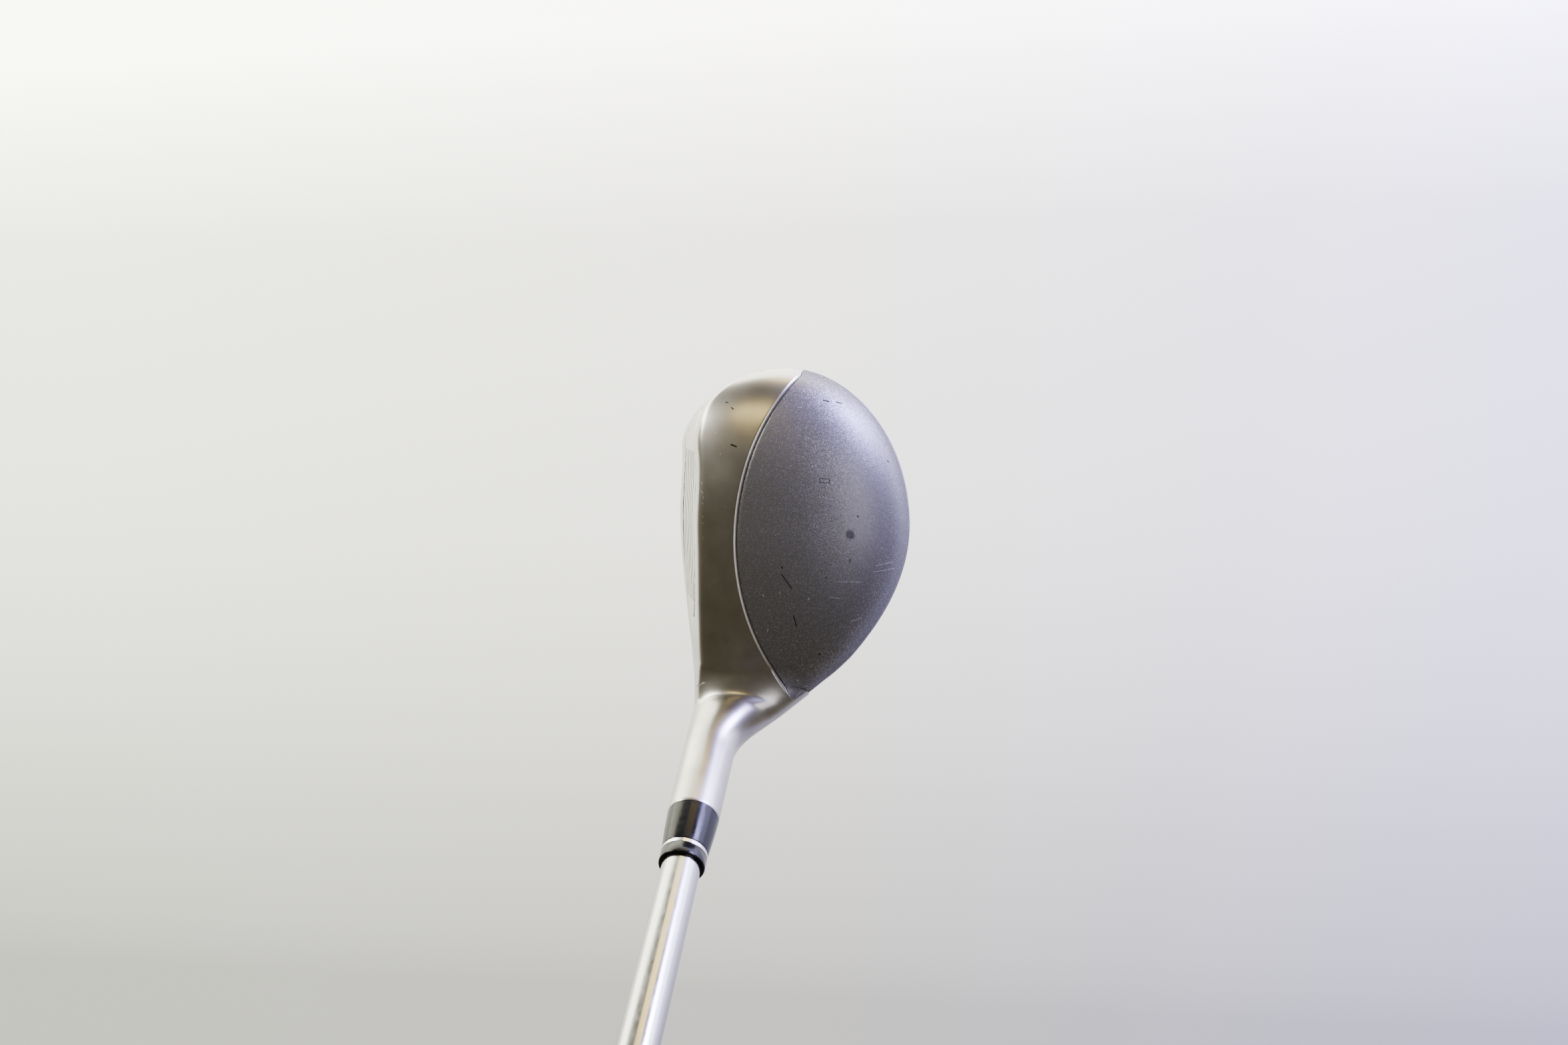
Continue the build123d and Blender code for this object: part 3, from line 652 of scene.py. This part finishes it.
# Levels up the plate are close together at each score line, and 0.6 mm apart elsewhere.
levels = list(np.arange(4.0, score_z[0] - 0.6, 0.6))
for z in score_z:
    levels += [z - 0.45, z - SCORE_HALF, z - SCORE_FLOOR, z + SCORE_FLOOR, z + SCORE_HALF,
               z + 0.45, z + 1.0, z + 1.5, z + 2.0]
levels = np.array(levels + list(np.arange(score_z[-1] + 2.6, 33.0, 0.6)))
ends = [s * v for s in (-1, 1) for v in (SCORE_RUN, SCORE_RUN - 0.35, SCORE_RUN - 0.05)]
turn = np.linspace(0, pi, 150)
spread = PLATE_MIDDLE - PLATE_HALF * (PLATE_SHARE - 0.0005) * np.cos(turn)
columns = np.unique(np.concatenate([spread, ends]))
plate_rings = []
for x in columns:
    middle, half = plate_middle(x)
    span = (x - PLATE_MIDDLE) / PLATE_HALF
    reach = half * max(0.0, PLATE_SHARE**PLATE_POWER - span**PLATE_POWER) ** (1 / PLATE_POWER)
    zs = np.clip(levels, middle - reach, middle + reach)
    roundness = NECK_ROUND * ease(x / PIVOT_X) if x > 0 else 0
    row = head_section(x, 0, 0, upright_extents(x), roundness)
    stretch = row[FLAT_POINTS + 10:CROWN_START - 5]
    y = np.interp(zs, stretch[:, 2], stretch[:, 1])
    sink = np.zeros(len(zs))
    for z in score_z:
        wall = np.clip((SCORE_HALF - np.abs(zs - z)) / (SCORE_HALF - SCORE_FLOOR), 0, 1)
        sink = np.maximum(sink, SCORE_DEPTH * wall)
    sink = sink * np.clip((SCORE_RUN - abs(x)) / 0.3, 0, 1)
    edge = np.minimum(zs - (middle - reach), (middle + reach) - zs)
    sink = np.maximum(sink, WELD_DEPTH * np.clip(1 - edge / WELD_WIDTH, 0, 1)) - PLATE_PROUD
    column = np.full(len(zs), x)
    front = np.stack([column, y + sink * cos(CUT_LEAN), zs - sink * sin(CUT_LEAN)], axis=1)
    back = np.stack([column, y + PLATE_THICK, zs - 0.3], axis=1)
    plate_rings.append(np.vstack([front, back[::-1]]))
plate = tube_mesh("face_plate_shell", plate_rings)

# Maraging steel, ground level: a satin shine with fine streaks from toe to heel.
face_steel, tree, shader, place = surface("maraging_steel_ground", Metallic=1.0)
cloud = add(tree, "ShaderNodeTexNoise", Vector=place, Scale=scale_for(4.55), Detail=3.0)
tone = add(tree, "ShaderNodeValToRGB", stops=[(0.3, colour("#b3b0aa")), (0.7, colour("#c4c1bb"))],
           Fac=(cloud, "Fac"))
# The plate is coloured dark along the score lines.
SCORE_BAND = (SCORE_COUNT - 1) / 2 * SCORE_PITCH + 0.5
split = add(tree, "ShaderNodeSeparateXYZ", Vector=place)
lift = add(tree, "ShaderNodeMath", {"operation": "SUBTRACT"}, i0=(split, "Z"), i1=score_z[0] * MM)
off_line = add(tree, "ShaderNodeMath", {"operation": "PINGPONG"}, i0=(lift, 0), i1=SCORE_PITCH / 2 * MM)
in_line = add(tree, "ShaderNodeMapRange", Value=(off_line, 0), From_Min=0.42 * MM, From_Max=0.34 * MM)
off_middle = add(tree, "ShaderNodeMath", {"operation": "SUBTRACT"}, i0=(split, "Z"), i1=TOE_Z * MM)
height = add(tree, "ShaderNodeMath", {"operation": "ABSOLUTE"}, i0=(off_middle, 0))
in_band = add(tree, "ShaderNodeMapRange", Value=(height, 0), From_Min=(SCORE_BAND + 0.1) * MM,
              From_Max=SCORE_BAND * MM)
side = add(tree, "ShaderNodeMath", {"operation": "ABSOLUTE"}, i0=(split, "X"))
in_run = add(tree, "ShaderNodeMapRange", Value=(side, 0), From_Min=SCORE_RUN * MM,
             From_Max=(SCORE_RUN - 0.3) * MM)
held = add(tree, "ShaderNodeMath", {"operation": "MULTIPLY"}, i0=(in_line, 0), i1=(in_band, 0))
score_line_mask = add(tree, "ShaderNodeMath", {"operation": "MULTIPLY"}, i0=(held, 0), i1=(in_run, 0))
dark_at_score_lines = add(tree, "ShaderNodeMix", {"data_type": "RGBA"}, i0=(score_line_mask, 0), i6=(tone, "Color"),
             i7=colour("#2c2a28"))
tree.links.new(dark_at_score_lines.outputs[2], shader.inputs["Base Color"])
lay = add(tree, "ShaderNodeMapping", Vector=place,
          Scale=(scale_for(16.7), scale_for(16.7), scale_for(0.167)))
streak = add(tree, "ShaderNodeTexNoise", Vector=(lay, "Vector"), Scale=1.0, Detail=2.0)
rough = add(tree, "ShaderNodeMapRange", Value=(streak, "Fac"), From_Min=0.3, From_Max=0.7,
            To_Min=0.26, To_Max=0.36)
tree.links.new(rough.outputs["Result"], shader.inputs["Roughness"])
plate.data.materials.append(face_steel)
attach(plate, "root")
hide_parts("face_plate")


# ---- shaft ----
# The real shaft is a stepped steel tube, drawn to 0.370 inch at the tip, thicker every 44 mm.
# It is nickel and chrome plated to a satin shine and glued into the hosel with epoxy.
TIP_PLACE, BUTT_PLACE, CLUB_LENGTH = 36.6, 998.0, 1003.0
SHAFT_TIP, SHAFT_BUTT = 4.7, 7.62
STEP_FIRST, STEP_PITCH, STEP_COUNT, STEP_RUN = TIP_PLACE + 300.0, 44.45, 13, 1.5


def turned(name, profile, segments=128, sharp=38.0):
    """A closed piece turned about the shaft axis, from (radius, place) pairs in mm."""
    verts, rows = [], []
    for radius, place in profile:
        centre = FOOT + SHAFT_DIR * place
        if radius == 0:
            rows.append([len(verts)] * segments)
            verts.append(centre * MM)
            continue
        rows.append(list(range(len(verts), len(verts) + segments)))
        for k in range(segments):
            angle = 2 * pi * k / segments
            outward = cos(angle) * SIDE_DIR + sin(angle) * BACK_DIR
            verts.append((centre + radius * outward) * MM)
    faces = []
    for a, b in zip(rows, rows[1:] + rows[:1]):
        for k in range(segments):
            corners = [a[k], a[(k + 1) % segments], b[(k + 1) % segments], b[k]]
            faces.append(list(dict.fromkeys(corners)))
    mesh = bpy.data.meshes.new(name)
    mesh.from_pydata([tuple(v) for v in verts], [], [f for f in faces if len(f) > 2])
    return finished(name, mesh, sharp)


profile = [(0, TIP_PLACE), (SHAFT_TIP, TIP_PLACE)]
for i in range(STEP_COUNT):
    small = mix(SHAFT_TIP, SHAFT_BUTT, i / STEP_COUNT)
    large = mix(SHAFT_TIP, SHAFT_BUTT, (i + 1) / STEP_COUNT)
    start = STEP_FIRST + i * STEP_PITCH
    for t in (0, 0.15, 0.35, 0.65, 0.85, 1):
        profile.append((mix(small, large, ease(t)), start + t * STEP_RUN))
profile += [(SHAFT_BUTT, BUTT_PLACE), (0, BUTT_PLACE)]
shaft = turned("stepped_shaft", profile)

# Chrome over nickel on drawn steel: bright, with a faint lay along the tube.
chrome, tree, shader, place = surface("satin_chrome_plate", Metallic=1.0, Base_Color=colour("#b9b8b6"))
lay = add(tree, "ShaderNodeMapping", Vector=place, Rotation=(0.0, LIE - pi / 2, 0.0),
          Scale=(scale_for(1.11), scale_for(1.11), scale_for(40)))
streak = add(tree, "ShaderNodeTexNoise", Vector=(lay, "Vector"), Scale=1.0, Detail=3.0)
rough = add(tree, "ShaderNodeMapRange", Value=(streak, "Fac"), From_Min=0.3, From_Max=0.7,
            To_Min=0.16, To_Max=0.24)
tree.links.new(rough.outputs["Result"], shader.inputs["Roughness"])
shaft.data.materials.append(chrome)
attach(shaft, "root")
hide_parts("shaft")


# ---- ferrule ----
# The real ferrule is turned from black plastic in two parts with an aluminium ring between.
# All three are pushed down the shaft on to the hosel's rim, then polished with solvent.
BORE_FIT, RING_RADIUS, COLLAR_EDGE = 4.72, 5.67, 0.5
RING_PLACE, COLLAR_PLACE, FERRULE_END = RIM_PLACE + 11.4, RIM_PLACE + 12.5, RIM_PLACE + 15.8
# Cellulose plastic, solvent polished: deep black, with its shine dulled in patches by handling.
ferrule_black, tree, shader, place = surface("black_cellulose_polished", IOR=1.47,
                                             Base_Color=colour("#0b0b0c"), Specular_IOR_Level=0.2)
wear = add(tree, "ShaderNodeTexNoise", Vector=place, Scale=scale_for(2.86), Detail=4.0)
rough = add(tree, "ShaderNodeMapRange", Value=(wear, "Fac"), From_Min=0.35, From_Max=0.7,
            To_Min=0.16, To_Max=0.30)
tree.links.new(rough.outputs["Result"], shader.inputs["Roughness"])

profile = [(BORE_FIT, RIM_PLACE), (RIM_RADIUS - 0.15, RIM_PLACE), (RIM_RADIUS, RIM_PLACE + 0.15)]
for t in np.linspace(0.03, 0.97, 24):
    radius = mix(RIM_RADIUS, RING_RADIUS, mix(t, t * t, 0.35))
    profile.append((radius, mix(RIM_PLACE, RING_PLACE, t)))
profile += [(RING_RADIUS, RING_PLACE - 0.1), (RING_RADIUS - 0.1, RING_PLACE), (BORE_FIT, RING_PLACE)]
ferrule = turned("ferrule_long_part", profile)
ferrule.data.materials.append(ferrule_black)
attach(ferrule, "root")
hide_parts("ferrule_body")

profile = [(BORE_FIT, RING_PLACE), (RING_RADIUS - 0.08, RING_PLACE), (RING_RADIUS, RING_PLACE + 0.08),
           (RING_RADIUS, COLLAR_PLACE - 0.08), (RING_RADIUS - 0.08, COLLAR_PLACE), (BORE_FIT, COLLAR_PLACE)]
band = turned("ferrule_trim_ring", profile)
# Aluminium, bright turned and clear anodised: a clean white line between the black parts.
ring_silver, *_ = surface("aluminium_bright_turned", Metallic=1.0, Roughness=0.16,
                          Base_Color=colour("#d7d7da"))
band.data.materials.append(ring_silver)
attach(band, "root")
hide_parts("ferrule_ring")

profile = [(BORE_FIT, COLLAR_PLACE), (RING_RADIUS - 0.1, COLLAR_PLACE), (RING_RADIUS, COLLAR_PLACE + 0.1)]
for angle in np.linspace(0, pi / 2, 10):
    profile.append((RING_RADIUS - COLLAR_EDGE * (1 - cos(angle)),
                    FERRULE_END - COLLAR_EDGE * (1 - sin(angle))))
profile.append((BORE_FIT, FERRULE_END))
collar = turned("ferrule_top_collar", profile, sharp=60.0)
collar.data.materials.append(ferrule_black)
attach(collar, "root")
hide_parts("ferrule_collar")


# ---- grip ----
# The real grip is one slip-on sleeve of moulded black rubber with a closed cap at its end.
# It is pushed over wet double-sided tape; its small raised diamonds are part of the mould.
GRIP_PLACE, MOUTH_BAND, BUTT_RADIUS = 736.0, 6.0, 13.29
TAPE_OUT, GRIP_WALL, MOUTH_EDGE, BUTT_BAND = 0.29, 1.4, 0.8, 6.0
DIAMOND_SINK = 0.30      # the skin lies this far below the diamonds' tops


def shaft_radius(place):
    """Outside radius of the shaft at a place along it."""
    steps = min(STEP_COUNT, max(0, int((place - STEP_FIRST) // STEP_PITCH) + 1))
    return mix(SHAFT_TIP, SHAFT_BUTT, steps / STEP_COUNT)


GRIP_MOUTH = shaft_radius(GRIP_PLACE) + TAPE_OUT + GRIP_WALL


def grip_radius(place):
    t = max(0.0, (place - GRIP_PLACE - MOUTH_BAND) / (BUTT_PLACE - GRIP_PLACE - MOUTH_BAND))
    return mix(GRIP_MOUTH, BUTT_RADIUS, mix(t, t * t, 0.25))


profile = [(shaft_radius(GRIP_PLACE) + TAPE_OUT, GRIP_PLACE), (GRIP_MOUTH - MOUTH_EDGE, GRIP_PLACE)]
for angle in np.linspace(0.2, pi / 2, 7):
    profile.append((GRIP_MOUTH - MOUTH_EDGE * (1 - sin(angle)),
                    GRIP_PLACE + MOUTH_EDGE * (1 - cos(angle))))
band_end = GRIP_PLACE + MOUTH_BAND
profile += [(GRIP_MOUTH, band_end - 0.6), (GRIP_MOUTH - 0.35, band_end - 0.2),
            (GRIP_MOUTH - 0.35, band_end + 0.5)]
for place in np.linspace(band_end + 0.9, BUTT_PLACE - BUTT_BAND - 1.0, 60):
    profile.append((grip_radius(place) - DIAMOND_SINK, place))
profile += [(BUTT_RADIUS - 0.35, BUTT_PLACE - BUTT_BAND - 0.4),
            (BUTT_RADIUS - 0.02, BUTT_PLACE - BUTT_BAND), (BUTT_RADIUS, BUTT_PLACE - 0.3),
            (BUTT_RADIUS - 0.25, BUTT_PLACE), (shaft_radius(BUTT_PLACE) + TAPE_OUT, BUTT_PLACE)]
sleeve = turned("grip_sleeve_skin", profile, segments=96)

# Moulded natural rubber with carbon black: a dull black, faintly mottled over a few millimetres.
rubber, tree, shader, place = surface("moulded_black_rubber", IOR=1.52)
cloud = add(tree, "ShaderNodeTexNoise", Vector=place, Scale=scale_for(3.85), Detail=5.0)
tone = add(tree, "ShaderNodeValToRGB", stops=[(0.3, colour("#17171a")), (0.75, colour("#242427"))],
           Fac=(cloud, "Fac"))
tree.links.new(tone.outputs["Color"], shader.inputs["Base Color"])
rough = add(tree, "ShaderNodeMapRange", Value=(cloud, "Fac"), From_Min=0.3, From_Max=0.7,
            To_Min=0.52, To_Max=0.72)
tree.links.new(rough.outputs["Result"], shader.inputs["Roughness"])

# One raised diamond, flat topped, lies along the grip; its local z points out of the surface.
stud_mesh = bpy.data.meshes.new("grip_diamond")
DIAMOND_LONG, DIAMOND_WIDE, DIAMOND_TOP = 1.45, 0.85, 0.62
base = [(DIAMOND_LONG, 0), (0, DIAMOND_WIDE), (-DIAMOND_LONG, 0), (0, -DIAMOND_WIDE)]
stud_verts = [(x * MM, y * MM, -0.1 * MM) for x, y in base]
stud_verts += [(x * DIAMOND_TOP * MM, y * DIAMOND_TOP * MM, DIAMOND_SINK * MM) for x, y in base]
sides = [(k, (k + 1) % 4, (k + 1) % 4 + 4, k + 4) for k in range(4)]
stud_mesh.from_pydata(stud_verts, [], [(3, 2, 1, 0), (4, 5, 6, 7)] + sides)
stud = bpy.data.objects.new("grip_diamond", stud_mesh)
bpy.context.scene.collection.objects.link(stud)

# The diamonds stand on a lattice of points, each with its own outward direction.
ROW_PITCH, ROUND_COUNT = 3.7, 22
FIRST_ROW, LAST_ROW = GRIP_PLACE + MOUTH_BAND + 3.0, BUTT_PLACE - 10.0
carrier_points, carrier_out = [], []
for i in range(int((LAST_ROW - FIRST_ROW) / (ROW_PITCH / 2))):
    place = FIRST_ROW + i * ROW_PITCH / 2
    for k in range(ROUND_COUNT):
        angle = 2 * pi * (k + 0.5 * (i % 2)) / ROUND_COUNT
        outward = cos(angle) * SIDE_DIR + sin(angle) * BACK_DIR
        stand = outward * (grip_radius(place) - DIAMOND_SINK)
        carrier_points.append((FOOT + SHAFT_DIR * place + stand) * MM)
        carrier_out.append(outward)
carrier_mesh = bpy.data.meshes.new("grip_lattice")
carrier_mesh.from_pydata([tuple(p) for p in carrier_points], [], [])
out_values = carrier_mesh.attributes.new("outward", "FLOAT_VECTOR", "POINT")
out_values.data.foreach_set("vector", np.array(carrier_out, dtype=np.float32).ravel())
texture = bpy.data.objects.new("grip_diamonds", carrier_mesh)
bpy.context.scene.collection.objects.link(texture)

group = bpy.data.node_groups.new("scatter_diamonds", "GeometryNodeTree")
ports = group.interface
ports.new_socket(name="Geometry", in_out="INPUT", socket_type="NodeSocketGeometry")
diamond_socket = ports.new_socket(name="Diamond", in_out="INPUT", socket_type="NodeSocketObject")
vary_socket = ports.new_socket(name="Size variation", in_out="INPUT", socket_type="NodeSocketFloat")
finish_socket = ports.new_socket(name="Finish", in_out="INPUT", socket_type="NodeSocketMaterial")
ports.new_socket(name="Geometry", in_out="OUTPUT", socket_type="NodeSocketGeometry")
source = group.nodes.new("NodeGroupInput")
shape = add(group, "GeometryNodeObjectInfo", Object=(source, "Diamond"))
outward = add(group, "GeometryNodeInputNamedAttribute", {"data_type": "FLOAT_VECTOR"}, Name="outward")
stand = add(group, "FunctionNodeAlignRotationToVector", {"axis": "Z"}, Vector=(outward, "Attribute"))
lay_along = add(group, "FunctionNodeAlignRotationToVector", {"axis": "X", "pivot_axis": "Z"},
                Rotation=(stand, "Rotation"), Vector=tuple(SHAFT_DIR))
least = add(group, "ShaderNodeMath", {"operation": "SUBTRACT"}, i0=1.0, i1=(source, "Size variation"))
size = add(group, "FunctionNodeRandomValue", {"data_type": "FLOAT"}, i2=(least, "Value"), i3=1.0,
           Seed=7)
stood = add(group, "GeometryNodeInstanceOnPoints", Points=(source, "Geometry"),
            Instance=(shape, "Geometry"), Rotation=(lay_along, "Rotation"))
group.links.new(size.outputs[1], stood.inputs["Scale"])
solid = add(group, "GeometryNodeRealizeInstances", Geometry=(stood, "Instances"))
painted = add(group, "GeometryNodeSetMaterial", Geometry=(solid, "Geometry"), Material=(source, "Finish"))
sink_node = group.nodes.new("NodeGroupOutput")
group.links.new(painted.outputs["Geometry"], sink_node.inputs["Geometry"])

scatter = texture.modifiers.new("diamonds", "NODES")
scatter.node_group = group
scatter[diamond_socket.identifier] = stud
scatter[vary_socket.identifier] = 0.04
scatter[finish_socket.identifier] = rubber
bpy.context.view_layer.update()
plain = bpy.data.meshes.new_from_object(texture.evaluated_get(bpy.context.evaluated_depsgraph_get()))
texture.modifiers.clear()
texture.data = plain
bpy.data.objects.remove(stud)
sleeve.data.materials.append(rubber)
for piece in (sleeve, texture):
    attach(piece, "root")
    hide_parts("grip_sleeve")

VENT, CAP_ROUND, CAP_GROOVE = 1.25, 2.5, 0.3
profile = [(VENT, BUTT_PLACE), (BUTT_RADIUS - 0.3, BUTT_PLACE), (BUTT_RADIUS, BUTT_PLACE + 0.3)]
for angle in np.linspace(0, pi / 2, 14):
    profile.append((BUTT_RADIUS - CAP_ROUND * (1 - cos(angle)),
                    CLUB_LENGTH - CAP_ROUND * (1 - sin(angle))))
profile += [(8.6, CLUB_LENGTH), (8.3, CLUB_LENGTH - CAP_GROOVE), (7.6, CLUB_LENGTH - CAP_GROOVE),
            (7.3, CLUB_LENGTH), (VENT + 0.35, CLUB_LENGTH), (VENT, CLUB_LENGTH - 0.3)]
cap = turned("grip_end_cap", profile, segments=96)
# The same rubber, moulded in a polished cavity: a little smoother than the sleeve.
cap_rubber, *_ = surface("moulded_black_rubber_cap", Roughness=0.55, IOR=1.52,
                         Base_Color=colour("#1b1b1e"))
cap.data.materials.append(cap_rubber)
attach(cap, "root")
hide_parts("grip_cap")


# ---- pieces inside ----
# Hidden pieces keep the shape that the frame gives them, and each gets its own finish here:
# colour, metallic and roughness, with the roughness clouded over 2.5 mm.
INNER = {
    "sole_weight": ("tungsten_nickel_sintered", "#6c6a68", 1.0, 0.42),   # brazed in, dull grey
    "glue_pad": ("hot_melt_amber", "#c9a86a", 0.0, 0.45),                # poured, waxy
    "tip_plug": ("brass_turned", "#b8923f", 1.0, 0.25),                  # knocked into the tip
    "epoxy_bond": ("epoxy_cured_grey", "#8a8578", 0.0, 0.35),            # fills the hosel's gap
    "grip_tape": ("paper_tape_masked", "#d8cfae", 0.0, 0.85),            # wound under the grip
}
for name, (label, tint, metal, shine) in INNER.items():
    made, tree, shader, place = surface(label, Metallic=metal, Base_Color=colour(tint))
    cloud = add(tree, "ShaderNodeTexNoise", Vector=place, Scale=scale_for(2.5), Detail=4.0)
    rough = add(tree, "ShaderNodeMapRange", Value=(cloud, "Fac"), From_Min=0.3, From_Max=0.7,
                To_Min=shine - 0.06, To_Max=shine + 0.06)
    tree.links.new(rough.outputs["Result"], shader.inputs["Roughness"])
    node = frame["nodes"][name]
    for spot in node.material_slots:
        spot.material = made


# ---- stage, light and camera ----
# The club is held clear of a pale floor, well below the head, so that no shadow falls on it.
FLOOR_Z, FLOOR_HALF = -0.30, 1.3
corners = [(x * FLOOR_HALF, y * FLOOR_HALF, FLOOR_Z) for x, y in ((-1, -1), (1, -1), (1, 1), (-1, 1))]
mesh = bpy.data.meshes.new("floor")
mesh.from_pydata(corners, [], [(0, 1, 2, 3)])
floor = bpy.data.objects.new("floor", mesh)
bpy.context.scene.collection.objects.link(floor)
# Matt paper whose glow is painted light: brightest past the toe and dim past the heel, with a green cast on
# the face's side and a lavender one behind the club.
FLOOR_LIGHT = 15.0
TINTS = [(0.0, colour("#f2f4de")), (0.5, colour("#ebe9dd")), (1.0, colour("#d8d6ff"))]
GLOWS = [(0.0, grey(0.66)), (0.05, grey(0.5)), (0.11, grey(0.38)), (0.2, grey(0.26)),
         (0.5, grey(0.21)), (0.8, grey(0.115)), (0.94, grey(0.085)), (1.0, grey(0.065))]
pale, tree, shader, place = surface("pale_paper_painted_glow", Roughness=0.9, Base_Color=grey(0.15))
spread = add(tree, "ShaderNodeSeparateXYZ", Vector=place)
across = add(tree, "ShaderNodeMapRange", Value=(spread, "Y"), From_Min=-0.4, From_Max=0.32)
tint = add(tree, "ShaderNodeValToRGB", stops=TINTS, Fac=(across, "Result"))
tree.links.new(tint.outputs["Color"], shader.inputs["Emission Color"])
down = add(tree, "ShaderNodeMapRange", Value=(spread, "X"), From_Min=-0.19, From_Max=0.27)
glow = add(tree, "ShaderNodeValToRGB", stops=GLOWS, Fac=(down, "Result"))
# painted light: the paper's own glow, graded from toe to heel
strength = add(tree, "ShaderNodeMath", {"operation": "MULTIPLY"}, i0=(glow, "Color"), i1=FLOOR_LIGHT)
tree.links.new(strength.outputs[0], shader.inputs["Emission Strength"])
floor.data.materials.append(pale)


HEAD_MIDDLE = Vector((0.02, 0.0, 0.02))


def softbox(name, azimuth, elevation, distance, width, height, power, tint):
    """A soft light, aimed at the head from a compass direction and height in degrees."""
    data = bpy.data.lights.new(name, "AREA")
    data.shape, data.size, data.size_y = "RECTANGLE", width, height
    data.energy, data.color = power, colour(tint)[:3]
    light = bpy.data.objects.new(name, data)
    turn, rise = radians(azimuth), radians(elevation)
    away = Vector((cos(turn) * cos(rise), sin(turn) * cos(rise), sin(rise)))
    light.location = HEAD_MIDDLE + away * distance
    light.rotation_euler = away.to_track_quat("Z", "Y").to_euler()
    bpy.context.scene.collection.objects.link(light)


softbox("window_cool", 134, -2, 1.4, 0.45, 0.8, 105, "#b8b4ff")
softbox("key_neutral", -125, 14, 1.4, 0.32, 1.1, 28, "#fffdf6")
softbox("wall_dim", 100, 50, 1.5, 0.9, 0.7, 8, "#ebe8f4")
softbox("room_warm", -165, 48, 1.5, 0.4, 0.35, 2.4, "#ffe596")
softbox("toe_pale", 172, -6, 1.5, 0.7, 0.35, 3.6, "#ffe08a")

# The room is pale low down, and dark and warm overhead.
world = bpy.data.worlds.new("dim_room")
world.use_nodes = True
tree = world.node_tree
place = add(tree, "ShaderNodeTexCoord")
sky = add(tree, "ShaderNodeSeparateXYZ", Vector=(place, "Generated"))
SKY = [(0.0, colour("#968e7c")), (0.1, colour("#898170")), (0.4, colour("#66614f")),
       (1.0, colour("#5a5647"))]
shade = add(tree, "ShaderNodeValToRGB", stops=SKY, Fac=(sky, "Z"))
tree.links.new(shade.outputs["Color"], tree.nodes["Background"].inputs["Color"])
bpy.context.scene.world = world

lens = bpy.data.cameras.new("camera")
lens.lens, lens.sensor_width = 36.72, 36.0
lens.clip_start = 0.01
camera = bpy.data.objects.new("camera", lens)
right = Vector((0.02017, 0.98574, -0.16708)).normalized()
forward = Vector((0.11813, -0.16829, -0.97863)).normalized()
up = right.cross(forward)
turned_to = Matrix((right, up, -forward)).transposed().to_4x4()
camera.matrix_world = Matrix.Translation((-0.05048, 0.08037, 0.43332)) @ turned_to
bpy.context.scene.collection.objects.link(camera)
bpy.context.scene.camera = camera
